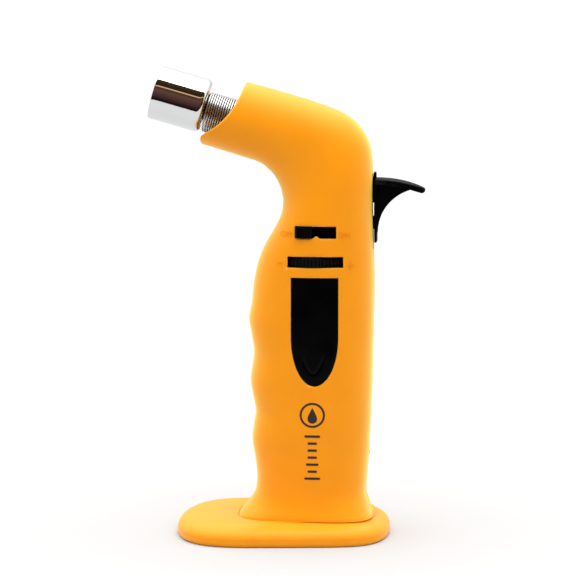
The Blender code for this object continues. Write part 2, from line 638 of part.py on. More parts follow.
# ---- trigger, igniter and lock ------------------------------------------------------
def trigger(look, rig):
    """Thumb trigger: pad and web outside, a plate on the casing's back, a carriage inside."""
    front = PLATE_X + PLATE_THICK
    scoop = arc_through((46.2, 130.4), (38.2, 125.0), (front + 0.2, 114.6), 9)
    web = [(PLATE_X + 0.3, 133.2), (40.0, 132.8), (46.0, 131.2)] + scoop + [(PLATE_X + 0.3, 113.0)]
    made = plate("trigger", web, -2.4, 2.4, look=look, rig=rig)
    top = arc_through((PLATE_X + 0.4, 134.4), (43.5, 133.45), (51.4, 131.1), 9)
    under = [(PAD_TIP_X, 130.5), (51.6, 129.6), (50.7, 129.3), (46.4, 130.65), (41.2, 131.85),
             (PLATE_X + 0.4, 132.7)]
    pad = plate("thumb_pad", top + under, -9.0, 9.0)
    reach = PAD_TIP_X + 0.15 - PAD_TAPER_X
    rounded = [(PAD_TAPER_X + reach * math.cos(a), PAD_HALF * math.sin(a))
               for a in [math.pi * (i / 10 - 0.5) for i in range(11)]]
    plan = [(PLATE_X, PAD_HALF), (PLATE_X, -PAD_HALF)] + rounded
    boolean(pad, plate("pad_plan", plan, 125.0, 140.0, axis="Z"), "INTERSECT")
    back = [(PLATE_X, 110.8), (PLATE_X - 0.15, 117.0), (PLATE_X - 0.15, 134.5), (front, 134.5),
            (front, 117.0), (front, 110.8)]
    nub = [(PLATE_X - 0.5, 133.5), (PLATE_X - 0.5, 136.4), (PLATE_X - 0.1, 137.0),
           (PLATE_X + 0.35, 136.9), (PLATE_X + 0.6, 136.4), (PLATE_X + 0.6, 133.5)]
    shapes = [
        pad,
        plate("back_plate", back, -PLATE_HALF, PLATE_HALF),
        plate("top_nub", nub, -1.7, 1.7),
        box("upper_tab", (27.5, -1.6, 125.6), (PLATE_X + 0.5, 1.6, 135.2)),
        box("lower_tab", (27.5, -1.6, 115.8), (PLATE_X + 0.5, 1.6, 120.4)),
        box("carriage", (26.8, -4.4, 113.0), (28.9, 4.4, 135.8)),
        box("pusher", (18.0, -8.8, 131.0), (27.4, 8.8, 135.8)),
        plate("cam_leg", [(25.0, 114.8), (25.0, 132.0), (19.4, 132.0), (19.4, 119.0),
                          (20.2, 114.8)], 5.4, 7.9),
    ]
    for shape in shapes:
        boolean(made, shape, "UNION")


def igniter(looks, rig, plunger_rig):
    body = box("piezo_body", (PIEZO_X - 4.2, -PIEZO_HALF, PIEZO_LOW),
               (PIEZO_X + 4.2, PIEZO_HALF, PIEZO_HIGH), look=looks["dark"], rig=rig)
    boolean(body, rod("piezo_bore", 3.0, PIEZO_LOW + 1.5, PIEZO_HIGH + 2, middle=(PIEZO_X, 0)))
    turned("piezo_plunger", ((0.0, 130.7), (2.3, 130.7), (2.7, 130.2), (2.7, 116.6), (0.0, 116.6)),
           look=looks["pale"], rig=plunger_rig, where=at(PIEZO_X, 0, 0), steps=20)
    wire("trigger_spring", helix(2.0, 110.2, 130.4, 7, PIEZO_X, -6.5, 10), 0.3, sides=1,
         look=looks["steel"], rig=rig)
    end = burner_frame(-38.0, up=ELECTRODE_UP).translation / MM
    route = ((17.0, 1.2, 110.2), (16.7, 5.6, 110.4), (18.0, 9.5, 111.2), (21.6, 10.8, 114.2),
             (24.0, 10.9, 119.0), (23.8, 10.8, 126.0), (22.0, 10.3, 134.5), (18.6, 9.0, 139.5),
             (14.5, 5.4, 146.0), (end.x + 3.4, 1.0, end.z - 1.2), (end.x, 0.0, end.z))
    wire("ignition_wire", smooth_rows(route, 4), 0.8, sides=1, look=looks["red"], rig=rig)


def valve_lever(looks, rig, lever_rig):
    """A bell crank: a fork under the stem's collar, and an arm that the cam leg pushes."""
    y = VALVE_Y
    made = rod("valve_lever", 2.0, y - 4.0, 7.9, axis="Y", middle=(LEVER_X, LEVER_Z),
               look=looks["steel"], rig=lever_rig)
    tine = [(9.6, 118.5), (9.6, 119.9), (15.0, 119.9), (15.0, 118.5)]
    arm = [(14.0, 118.6), (18.0, 113.3), (19.8, 113.3), (17.5, 119.8)]
    for shape in (plate("tine_near", tine, y - 4.0, y - 2.0), plate("tine_far", tine, y + 2.0, y + 4.0),
                  plate("crank_arm", arm, 5.6, 7.7)):
        boolean(made, shape, "UNION")
    boolean(made, rod("lever_bore", 1.1, y - 6.0, 10.0, axis="Y", segments=16,
                      middle=(LEVER_X, LEVER_Z)))
    rod("lever_pin", 0.8, -6.5, 11.5, axis="Y", middle=(LEVER_X, LEVER_Z), segments=12,
        look=looks["steel"], rig=rig)


def lock_slider(look, rig):
    low_x, high_x, low_z, high_z = LOCK_SLOT
    made = box("lock_slider", (low_x - 0.4, -11.5, low_z - 1.0), (low_x + 12.2, -10.3, high_z + 0.5),
               look=look, rig=rig)
    knob = box("lock_knob", (low_x + 0.4, -17.6, low_z + 0.4),
               (low_x + 0.4 + LOCK_KNOB_LENGTH, -10.9, high_z - 0.4))
    for index in range(4):
        x = low_x + 1.3 + index * 1.35
        boolean(knob, box(f"knob_groove_{index}", (x, -19, low_z), (x + 0.6, -17.1, high_z)))
    boolean(made, knob, "UNION")


def housing_screws(look, rig):
    head, under = SCREW_HEAD_RADIUS, -SCREW_HEAD_HEIGHT
    for index, (x, z) in enumerate(SCREWS):
        name = f"housing_screw_{index + 1}"
        where = along_y(x, z) @ at(0, 0, SCREW_HEAD_Y)
        screw = turned(name, ((0.0, 0.0), (head, 0.0), (head, under), (1.0, under), (1.0, -13.4),
                              (0.0, -14.2)), look=look, rig=rig, steps=14, where=where)
        boolean(screw, box(f"{name}_drive", (-1.3, -0.3, -0.7), (1.3, 0.3, 0.5), where=where))


# ---- assembly -----------------------------------------------------------------------
def build():
    looks = {
        "yellow": material("casing_yellow", YELLOW, 0.45),
        "stand": material("stand_yellow", DEEP_YELLOW, 0.45),
        "black": material("black_plastic", BLACK, 0.35),
        "window": material("smoked_window", BLACK, 0.2),
        "chrome": material("chrome", (0.85, 0.85, 0.86), 0.06, 1.0),
        "steel": material("steel", STEEL, 0.3, 1.0),
        "brass": material("brass", BRASS, 0.3, 1.0),
        "rubber": material("seal_rubber", (0.02, 0.02, 0.02), 0.8),
        "ceramic": material("ceramic", (0.85, 0.83, 0.78), 0.4),
        "tank": material("tank_plastic", (0.75, 0.74, 0.7), 0.3),
        "dark": material("igniter_case", (0.03, 0.03, 0.035), 0.5),
        "pale": material("plunger_plastic", (0.8, 0.8, 0.78), 0.4),
        "red": material("wire_insulation", (0.45, 0.02, 0.02), 0.5),
    }
    torch = joint_empty("torch_lift", 7.7, 0, RECESS_FLOOR)
    pressed = joint_empty("trigger_slide", PLATE_X, 0, 133)
    plunger = joint_empty("plunger_slide", PIEZO_X, 0, 120)
    stem = joint_empty("stem_slide", VALVE_X, VALVE_Y, 110)
    crank = joint_empty("lever_pivot", LEVER_X, 0, LEVER_Z)
    wheel = joint_empty("wheel_spin", VALVE_X, VALVE_Y, (WHEEL_LOW + WHEEL_HIGH) / 2)
    lock = joint_empty("lock_slide", LOCK_SLOT[0], -16, (LOCK_SLOT[2] + LOCK_SLOT[3]) / 2)
    filler = joint_empty("fill_slide", FILL_X, 0, 9)
    for empty in (pressed, plunger, stem, crank, wheel, lock, filler):
        empty.parent = torch
        empty.matrix_parent_inverse = Matrix.Translation(-torch.location)

    stand_base(looks["stand"])
    core = casing_core("casing_core", 0.6)
    mouth = mouth_cutter()
    for side in (-1, 1):
        casing_half(side, core, mouth, looks["yellow"], torch)
    fuel_window(core, looks["window"], torch)
    bottom_plate(looks["yellow"], torch)
    burner_nozzle(looks["chrome"], torch)
    burner_pieces(looks, torch)
    fuel_tank(looks, torch)
    gas_valve(looks, torch, stem, wheel)
    fill_valve(looks, torch, filler)
    gas_tube(looks["brass"], torch)
    trigger(looks["black"], pressed)
    igniter(looks, torch, plunger)
    valve_lever(looks, torch, crank)
    lock_slider(looks["black"], lock)
    housing_screws(looks["steel"], torch)


build()
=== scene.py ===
from math import atan2, copysign, cos, exp, hypot, pi, radians, sin, sqrt

import bmesh
import bpy
from mathutils import Matrix, Vector
from mathutils.bvhtree import BVHTree

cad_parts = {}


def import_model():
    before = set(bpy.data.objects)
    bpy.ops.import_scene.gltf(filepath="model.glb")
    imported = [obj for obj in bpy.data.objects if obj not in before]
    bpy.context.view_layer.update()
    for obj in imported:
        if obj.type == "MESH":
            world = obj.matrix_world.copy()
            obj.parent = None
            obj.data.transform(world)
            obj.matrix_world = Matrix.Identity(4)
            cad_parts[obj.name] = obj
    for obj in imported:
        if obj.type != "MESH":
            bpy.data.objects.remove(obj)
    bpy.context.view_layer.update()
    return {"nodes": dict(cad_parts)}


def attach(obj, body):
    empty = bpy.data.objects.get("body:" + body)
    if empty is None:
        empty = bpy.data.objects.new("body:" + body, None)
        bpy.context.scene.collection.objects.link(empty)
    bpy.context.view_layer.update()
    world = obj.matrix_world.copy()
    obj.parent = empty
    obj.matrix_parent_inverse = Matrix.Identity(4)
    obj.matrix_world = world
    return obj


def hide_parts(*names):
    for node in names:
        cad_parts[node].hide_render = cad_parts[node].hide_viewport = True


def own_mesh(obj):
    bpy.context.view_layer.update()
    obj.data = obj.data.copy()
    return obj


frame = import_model()

# Shapes are made in millimetres and turned into metres when a piece is finished. X runs
# from the flame (-X) to the thumb trigger (+X), the near side is -Y, and Z is up.
MM = 0.001


# ---- materials
def wired(name):
    """A new material, its node tree and its shader."""
    made = bpy.data.materials.new(name)
    made.use_nodes = True
    return made, made.node_tree, made.node_tree.nodes["Principled BSDF"]


def fit(tree, node, inputs):
    """Fills a node's inputs, each with the output of another node or with a value."""
    for name, value in inputs.items():
        if isinstance(value, bpy.types.NodeSocket):
            tree.links.new(value, node.inputs[name])
        else:
            node.inputs[name].default_value = value
    return node


def added(tree, kind, inputs):
    return fit(tree, tree.nodes.new(kind), inputs)


def reckoned(tree, operation, *values):
    """The output of a sum on numbers and the outputs of other nodes."""
    made = added(tree, "ShaderNodeMath", dict(enumerate(values)))
    made.operation = operation
    return made.outputs[0]


def noise(tree, where, scale, detail=4.0):
    """A noise in the object's own coordinates; scale is in features per metre."""
    return added(tree, "ShaderNodeTexNoise",
                 {"Vector": where, "Scale": scale, "Detail": detail}).outputs["Fac"]


def remap(tree, value, low, high, from_low=0.3, from_high=0.7):
    return added(tree, "ShaderNodeMapRange",
                 {"Value": value, "From Min": from_low, "From Max": from_high,
                  "To Min": low, "To Max": high}).outputs["Result"]


def blended(tree, factor, first, second):
    """A colour between two, each a tuple or the output of another node."""
    made = tree.nodes.new("ShaderNodeMix")
    made.data_type = "RGBA"
    first, second = ((*value, 1.0) if isinstance(value, tuple) else value
                     for value in (first, second))
    return fit(tree, made, {"Factor": factor, 6: first, 7: second}).outputs[2]


def bumped(tree, where, scale, detail, depth, below=None):
    """A bump of a depth in millimetres, over another one where that is given."""
    inputs = {"Height": noise(tree, where, scale, detail), "Distance": depth * MM,
              "Strength": 1.0}
    if below:
        inputs["Normal"] = below
    return added(tree, "ShaderNodeBump", inputs).outputs["Normal"]


def surface(name, color, variation=0.06, roughness=0.4, rough_spread=0.06, metallic=0.0,
            mottle=70.0, grain=2600.0, grain_depth=0.012, ripple=0.0, specular=0.5,
            edge_wear_and_highlight=None, sheen=0.0, scatter=0.0):
    """Colour with mottling and lighter edges that are partly wear and partly painted highlight,
    roughness that varies, and a fine moulded grain.
    """
    made, tree, shader = wired(name)
    where = tree.nodes.new("ShaderNodeTexCoord").outputs["Object"]
    darker = tuple(c * (1 - variation) for c in color)
    lighter = tuple(min(1.0, c * (1 + variation)) for c in color)
    shade = blended(tree, remap(tree, noise(tree, where, mottle), 0.0, 1.0), darker, lighter)
    # Convex edges, picked by pointiness and broken up by noise, take the edge colour: partly wear,
    # partly a painted highlight where edges catch light.
    if edge_wear_and_highlight:
        edge = tree.nodes.new("ShaderNodeNewGeometry").outputs["Pointiness"]
        edge_wear_and_highlight_mask = reckoned(tree, "MULTIPLY", remap(tree, edge, 0.0, 0.5, 0.53, 0.62),
                          remap(tree, noise(tree, where, 900.0, detail=3.0), 0.3, 1.0))
        shade = blended(tree, edge_wear_and_highlight_mask, shade, edge_wear_and_highlight)
    rough = noise(tree, where, mottle * 2.3, detail=6.0)
    wave = bumped(tree, where, 45.0, 1.0, ripple) if ripple else None
    fit(tree, shader, {
        "Base Color": shade, "Metallic": metallic, "Specular IOR Level": specular,
        "Roughness": remap(tree, rough, roughness - rough_spread, roughness + rough_spread),
        "Normal": bumped(tree, where, grain, 2.0, grain_depth, wave),
        "Sheen Weight": sheen, "Sheen Roughness": 0.5, "Sheen Tint": (0.90, 0.84, 0.20, 1.0)})
    if scatter:
        fit(tree, shader, {"Subsurface Weight": scatter, "Subsurface Scale": 0.8 * MM,
                           "Subsurface Radius": (1.0, 0.35, 0.08)})
    made.diffuse_color = (*color, 1.0)
    return made


LOOKS = {name: surface(name, color, **more) for name, color, more in (
    # The lighter edge colour is partly wear and partly a painted highlight on edges that catch
    # light.
    ("casing_yellow", (0.85, 0.273, 0.001), dict(
        variation=0.03, roughness=0.34, grain_depth=0.005, specular=0.12, sheen=1.0,
        edge_wear_and_highlight=(1.0, 0.60, 0.22))),
    # The lighter edge colour is partly wear and partly a painted highlight on edges that catch
    # light.
    ("stand_yellow", (0.87, 0.295, 0.008), dict(
        variation=0.03, roughness=0.40, grain_depth=0.006, specular=0.14, sheen=0.3,
        edge_wear_and_highlight=(0.94, 0.45, 0.07))),
    # The greyer edge colour is partly wear and partly a painted highlight on edges that catch
    # light.
    ("black_plastic", (0.0012, 0.0014, 0.0013), dict(
        variation=0.3, roughness=0.5, grain_depth=0.008, specular=0.02,
        edge_wear_and_highlight=(0.02, 0.02, 0.021))),
    # The raised marks are the casing's plastic in a darker tint: painted shade standing in for the
    # shading of their relief.
    ("casing_mark_painted_shade", (0.80, 0.235, 0.008), dict(
        variation=0.03, roughness=0.5, grain_depth=0.006, specular=0.09)),
    # The lighter edge colour is partly wear and partly a painted highlight on edges that catch
    # light.
    ("smoked_window", (0.0008, 0.0009, 0.0011), dict(
        variation=0.3, roughness=0.2, grain_depth=0.003, specular=0.06,
        edge_wear_and_highlight=(0.01, 0.01, 0.01))),
    ("chrome", (0.66, 0.68, 0.675), dict(
        variation=0.01, roughness=0.045, rough_spread=0.02, metallic=1.0, grain=700.0,
        grain_depth=0.0006, ripple=0.01)),
    ("steel", (0.50, 0.49, 0.48), dict(
        variation=0.1, roughness=0.26, metallic=1.0, mottle=300.0, grain_depth=0.003)),
    ("brass", (0.62, 0.40, 0.13), dict(
        variation=0.12, roughness=0.28, metallic=1.0, mottle=220.0, grain_depth=0.003)),
    ("seal_rubber", (0.018, 0.018, 0.019), dict(
        variation=0.2, roughness=0.75, grain_depth=0.02)),
    ("ceramic", (0.80, 0.77, 0.70), dict(roughness=0.35, grain_depth=0.008)),
    ("tank_plastic", (0.72, 0.71, 0.66), dict(variation=0.05, roughness=0.28, scatter=0.2)),
    ("igniter_case", (0.028, 0.028, 0.033), dict(variation=0.2, roughness=0.45)),
    ("plunger_plastic", (0.76, 0.76, 0.73), dict(variation=0.05, roughness=0.38)),
    ("wire_insulation", (0.42, 0.018, 0.016), dict(variation=0.12, roughness=0.42)),
    ("black_print", (0.012, 0.008, 0.008), dict(variation=0.25, roughness=0.5, mottle=900.0)),
    ("heated_steel", (0.05, 0.036, 0.03), dict(
        variation=0.25, roughness=0.5, metallic=0.9, mottle=300.0, grain_depth=0.004)),
    ("flame_side_steel", (0.42, 0.40, 0.38), dict(
        variation=0.2, roughness=0.34, metallic=1.0, mottle=350.0, grain_depth=0.004,
        edge_wear_and_highlight=(0.25, 0.20, 0.30))),
)}


# ---- mesh helpers
def linked(name, data):
    """An object in the scene for a mesh or a curve."""
    obj = bpy.data.objects.new(name, data)
    bpy.context.scene.collection.objects.link(obj)
    return obj


def finished(bm, name="scratch"):
    """The object that a bmesh becomes."""
    mesh = bpy.data.meshes.new(name)
    bm.to_mesh(mesh)
    bm.free()
    return linked(name, mesh)


def raw(points, faces):
    """A scratch object in millimetres, its normals facing out."""
    bm = bmesh.new()
    verts = [bm.verts.new(p) for p in points]
    for face in faces:
        corners = [verts[i] for i in dict.fromkeys(face)]
        if len(corners) > 2:
            bm.faces.new(corners)
    bmesh.ops.remove_doubles(bm, verts=bm.verts, dist=1e-4)
    bmesh.ops.recalc_face_normals(bm, faces=bm.faces)
    return finished(bm)


def modified(obj, kind, **settings):
    """The object with a modifier made part of its mesh."""
    modifier = obj.modifiers.new("scratch", kind)
    for name, value in settings.items():
        setattr(modifier, name, value)
    graph = bpy.context.evaluated_depsgraph_get()
    mesh = bpy.data.meshes.new_from_object(obj.evaluated_get(graph))
    obj.modifiers.clear()
    obj.data = mesh
    return obj


def boolean(obj, other, operation="DIFFERENCE"):
    modified(obj, "BOOLEAN", operation=operation, object=other, solver="EXACT")
    bpy.data.objects.remove(other, do_unlink=True)


def joined(objs):
    """One scratch object out of several that don't touch."""
    bm = bmesh.new()
    for obj in objs:
        bm.from_mesh(obj.data)
        bpy.data.objects.remove(obj, do_unlink=True)
    return finished(bm)


def moved(obj, matrix):
    obj.data.transform(matrix)
    return obj


def bevelled(obj, width, segments, angle):
    return modified(obj, "BEVEL", width=width, segments=segments, limit_method="ANGLE",
                    angle_limit=radians(angle))


def piece(obj, name, look, body="torch", replaces=(), sharp=32.0):
    """Turns a scratch object into a finished piece that rides on a body."""
    bm = bmesh.new()
    bm.from_mesh(obj.data)
    bmesh.ops.remove_doubles(bm, verts=bm.verts, dist=1e-4)
    bmesh.ops.dissolve_degenerate(bm, edges=bm.edges, dist=1e-5)
    bmesh.ops.recalc_face_normals(bm, faces=bm.faces)
    bmesh.ops.scale(bm, vec=(MM, MM, MM), verts=bm.verts)
    bpy.data.objects.remove(obj, do_unlink=True)
    made = finished(bm, name)
    made.data.materials.append(LOOKS[look])
    made.data.shade_smooth()
    made.data.set_sharp_from_angle(angle=radians(sharp))
    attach(made, body)
    if replaces:
        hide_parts(*replaces)
    return made


def skin(rings, wrap=False):
    """A closed skin through rings of equal length; wrap joins the last ring to the first."""
    count = len(rings[0])
    points = [p for ring in rings for p in ring]
    faces = []
    for row in range(len(rings) if wrap else len(rings) - 1):
        low, high = row * count, (row + 1) % len(rings) * count
        for i in range(count):
            j = (i + 1) % count
            faces.append((low + i, low + j, high + j, high + i))
    if not wrap:
        faces.append(tuple(range(count)))
        faces.append(tuple(range(len(points) - count, len(points))))
    return raw(points, faces)


def polar(x, y, radius, angle):
    return x + radius * cos(angle), y + radius * sin(angle)


def circle(x, y, radius, count, turn=0.0):
    """Points round a circle; turn moves them all on by a part of a step."""
    return [polar(x, y, radius, 2 * pi * (i + turn) / count) for i in range(count)]


def arc(x, y, radius, first, last, steps):
    """Points on an arc; the angles are in degrees."""
    return [polar(x, y, radius, radians(first + (last - first) * k / steps))
            for k in range(steps + 1)]


def turned(profile, steps=96, where=None):
    """A profile of (radius, z) turned about Z. It is a ring unless both ends are at 0."""
    rings = [[(x, y, z) for x, y in circle(0.0, 0.0, r, steps)] for r, z in profile if r > 0]
    made = skin(rings, wrap=profile[0][0] > 0)
    return moved(made, where) if where else made


def rod(radius, low, high, middle=(0.0, 0.0), steps=48, where=None, edge=0.0):
    profile = [(0.0, high), (radius, high), (radius, low), (0.0, low)]
    if edge:
        profile[1:3] = [(radius - edge, high), (radius, high - edge), (radius, low + edge),
                        (radius - edge, low)]
    shift = Matrix.Translation((middle[0], middle[1], 0.0))
    return turned(profile, steps, (where or Matrix()) @ shift)


def prism(outline, low, high, axis="Y", edge=0.0):
    """A flat outline with a thickness and rounded edges: (x, z) along Y, (x, y) along Z."""
    def at(u, v, w):
        return (u, w, v) if axis == "Y" else (u, v, w)
    count = len(outline)
    points = [at(u, v, w) for w in (low, high) for u, v in outline]
    faces = [tuple(range(count)), tuple(range(count, 2 * count))]
    faces += [(i, (i + 1) % count, count + (i + 1) % count, count + i) for i in range(count)]
    made = raw(points, faces)
    return bevelled(made, edge, 2, 40.0) if edge else made


def block(low, high, edge=0.0):
    outline = [(low[0], low[2]), (high[0], low[2]), (high[0], high[2]), (low[0], high[2])]
    return prism(outline, low[1], high[1], edge=edge)


def padded(rows):
    """Rows of numbers with one more at each end, for a Catmull-Rom curve through them."""
    return ([[2 * p - q for p, q in zip(rows[0], rows[1])]] + [list(row) for row in rows]
            + [[2 * p - q for p, q in zip(rows[-1], rows[-2])]])


def on_curve(rows, index, t):
    """The point at t on the span that starts at a row, out of padded rows."""
    return [0.5 * (2 * q + (r - p) * t + (2 * p - 5 * q + 4 * r - s) * t ** 2
                   + (3 * q - p - 3 * r + s) * t ** 3)
            for p, q, r, s in zip(*rows[index:index + 4])]


def catmull(rows, per_span):
    rows = padded(rows)
    return [on_curve(rows, index, step / per_span) for index in range(len(rows) - 3)
            for step in range(per_span)] + [rows[-2]]


def tube(path, radius, sides):
    """A round tube along a path, its sections carried along without twist."""
    path = [Vector(p) for p in path]
    side = Vector((0.0, 1.0, 0.0)).cross(path[1] - path[0])
    if side.length < 1e-6:
        side = Vector((1.0, 0.0, 0.0))
    rings = []
    for index, point in enumerate(path):
        ahead = path[min(index + 1, len(path) - 1)] - path[max(index - 1, 0)]
        ahead.normalize()
        side = (side - ahead * side.dot(ahead)).normalized()
        other = ahead.cross(side)
        rings.append([point + (side * u + other * v) * radius
                      for u, v in circle(0.0, 0.0, 1.0, sides)])
    return skin(rings)


def helix(radius, low, high, turns, x=0.0, y=0.0, per_turn=40):
    """A path round an upright axis at x and y."""
    count = int(turns * per_turn)
    return [(*polar(x, y, radius, 2 * pi * i / per_turn), low + (high - low) * i / count)
            for i in range(count + 1)]


def circle_through(a, b, c):
    """Centre and radius of the circle through three (x, z) points."""
    d = 2 * (a[0] * (b[1] - c[1]) + b[0] * (c[1] - a[1]) + c[0] * (a[1] - b[1]))
    a2, b2, c2 = (p[0] ** 2 + p[1] ** 2 for p in (a, b, c))
    x = (a2 * (b[1] - c[1]) + b2 * (c[1] - a[1]) + c2 * (a[1] - b[1])) / d
    z = (a2 * (c[0] - b[0]) + b2 * (a[0] - c[0]) + c2 * (b[0] - a[0])) / d
    return x, z, hypot(a[0] - x, a[1] - z)


def arc_through(start, middle, end, count):
    """Points on the arc from start to end by way of middle."""
    x, z, radius = circle_through(start, middle, end)
    first = atan2(start[1] - z, start[0] - x)
    last = atan2(end[1] - z, end[0] - x)
    if last - first > pi:
        last -= 2 * pi
    if first - last > pi:
        last += 2 * pi
    return [polar(x, z, radius, first + (last - first) * i / (count - 1)) for i in range(count)]


def superellipse(angle, half_x, half_y, roundness):
    """The point of a rounded oval that lies in a direction; 2 is an ellipse, more is squarer."""
    c, s = abs(cos(angle)) / half_x, abs(sin(angle)) / half_y
    reach = (c ** roundness + s ** roundness) ** (-1 / roundness)
    return reach * cos(angle), reach * sin(angle)


# ---- casing
WALL = 2.2
GAP = 0.3               # play between fitted pieces
ANGLES = 52             # steps round one half of a section
PER_SPAN = 5            # rows between two stations
WARP_FROM = 24          # the rows bend towards the mouth from this station on
WARP_ROWS = 30
SEAM_HALF = 0.015       # half the gap between the two halves
SEAM_MOUTH = 0.3        # half the width of the groove along their seam
SEAM_CHAMFER = 0.26     # and its depth

# Front x, front z, back x, back z, half width and roundness, from the foot to the mouth.
STATIONS = (
    (-17.2, 6.3, 32.8, 6.3, 19.3, 3.5),
    (-17.2, 8.1, 32.8, 8.1, 19.3, 3.5),
    (-15.8, 10.0, 32.0, 10.0, 18.8, 3.3),
    (-13.2, 12.8, 31.2, 12.8, 18.0, 3.0),
    (-11.2, 16.9, 30.4, 16.5, 17.5, 2.7),
    (-10.7, 23.0, 30.8, 23.0, 17.3, 2.7),
    (-11.5, 30.0, 31.3, 30.0, 17.2, 2.7),
    (-12.5, 36.5, 31.7, 36.8, 17.2, 2.7),
    (-11.9, 42.0, 32.0, 42.5, 17.2, 2.7),
    (-11.2, 47.0, 32.2, 48.0, 17.2, 2.7),
    (-12.2, 53.0, 32.4, 54.0, 17.2, 2.7),
    (-13.1, 58.8, 32.6, 60.0, 17.2, 2.7),
    (-12.4, 64.5, 32.7, 65.5, 17.2, 2.7),
    (-11.8, 70.0, 32.8, 71.0, 17.2, 2.7),
    (-12.8, 76.3, 33.0, 77.3, 17.2, 2.7),
    (-13.6, 82.3, 33.1, 83.5, 17.2, 2.7),
    (-12.6, 88.5, 33.2, 90.0, 17.2, 2.7),
    (-11.7, 96.5, 33.2, 98.0, 17.1, 2.7),
    (-10.1, 103.6, 33.0, 105.0, 17.0, 2.65),
    (-7.5, 110.0, 32.8, 112.5, 16.8, 2.6),
    (-4.3, 115.5, 32.5, 121.0, 16.5, 2.55),
    (-1.8, 120.5, 32.4, 130.0, 16.0, 2.5),
    (-0.9, 125.2, 32.4, 138.5, 15.5, 2.45),
    (-1.4, 129.2, 31.3, 146.8, 15.0, 2.4),
    (-2.7, 132.9, 28.2, 152.9, 14.5, 2.35),
    (-5.0, 136.4, 22.0, 158.4, 14.0, 2.25),
    (-9.4, 140.0, 10.5, 162.9, 13.7, 2.15),
    (-15.6, 142.2, -3.0, 166.9, 13.4, 2.05),
    (-23.0, 144.4, -14.5, 170.0, 13.2, 2.0),
    (-30.4, 146.6, -23.0, 172.2, 13.2, 2.0),
    (-38.0, 148.8, -31.0, 174.3, 13.2, 2.0),
)
MOUTH_TOP, MOUTH_MID, MOUTH_LIP = (-14.9, 169.6), (-19.6, 159.8), (-30.0, 151.4)
MOUTH_X, MOUTH_Z, MOUTH_RADIUS = circle_through(MOUTH_TOP, MOUTH_MID, MOUTH_LIP)
LIP_X, LIP_BLEND = -31.8, 1.6

PADDED = padded(STATIONS)


def station_at(t):
    """The casing's section at a fractional station number."""
    index = min(int(t), len(STATIONS) - 2)
    return on_curve(PADDED, index, t - index)


def casing_point(t, angle, inset):
    """A point on a section's outline; angle 0 is the back edge and pi the front edge."""
    fx, fz, bx, bz, half_width, roundness = station_at(t)
    front, back = Vector((fx, 0, fz)), Vector((bx, 0, bz))
    half_depth = (back - front).length / 2 - inset
    u, v = superellipse(angle, half_depth, half_width - inset, roundness)
    return (front + back) / 2 + (back - front).normalized() * u + Vector((0, v, 0))


def mouth_x(z):
    """Where the mouth's scooped face stands at a height."""
    scoop = MOUTH_X + sqrt(max(MOUTH_RADIUS ** 2 - (z - MOUTH_Z) ** 2, 0.0))
    return 0.5 * (scoop + LIP_X + sqrt((scoop - LIP_X) ** 2 + LIP_BLEND ** 2))


def mouth_station(angle, inset):
    """The fractional station at which the casing's line at an angle meets the mouth."""
    low, high = float(WARP_FROM), len(STATIONS) - 1.0
    for _ in range(30):
        middle = (low + high) / 2
        p = casing_point(middle, angle, inset)
        if p.x > mouth_x(p.z):
            low = middle
        else:
            high = middle
    return low


def clear_of_seam(point, side, least):
    return Vector((point.x, side * max(abs(point.y), least), point.z))


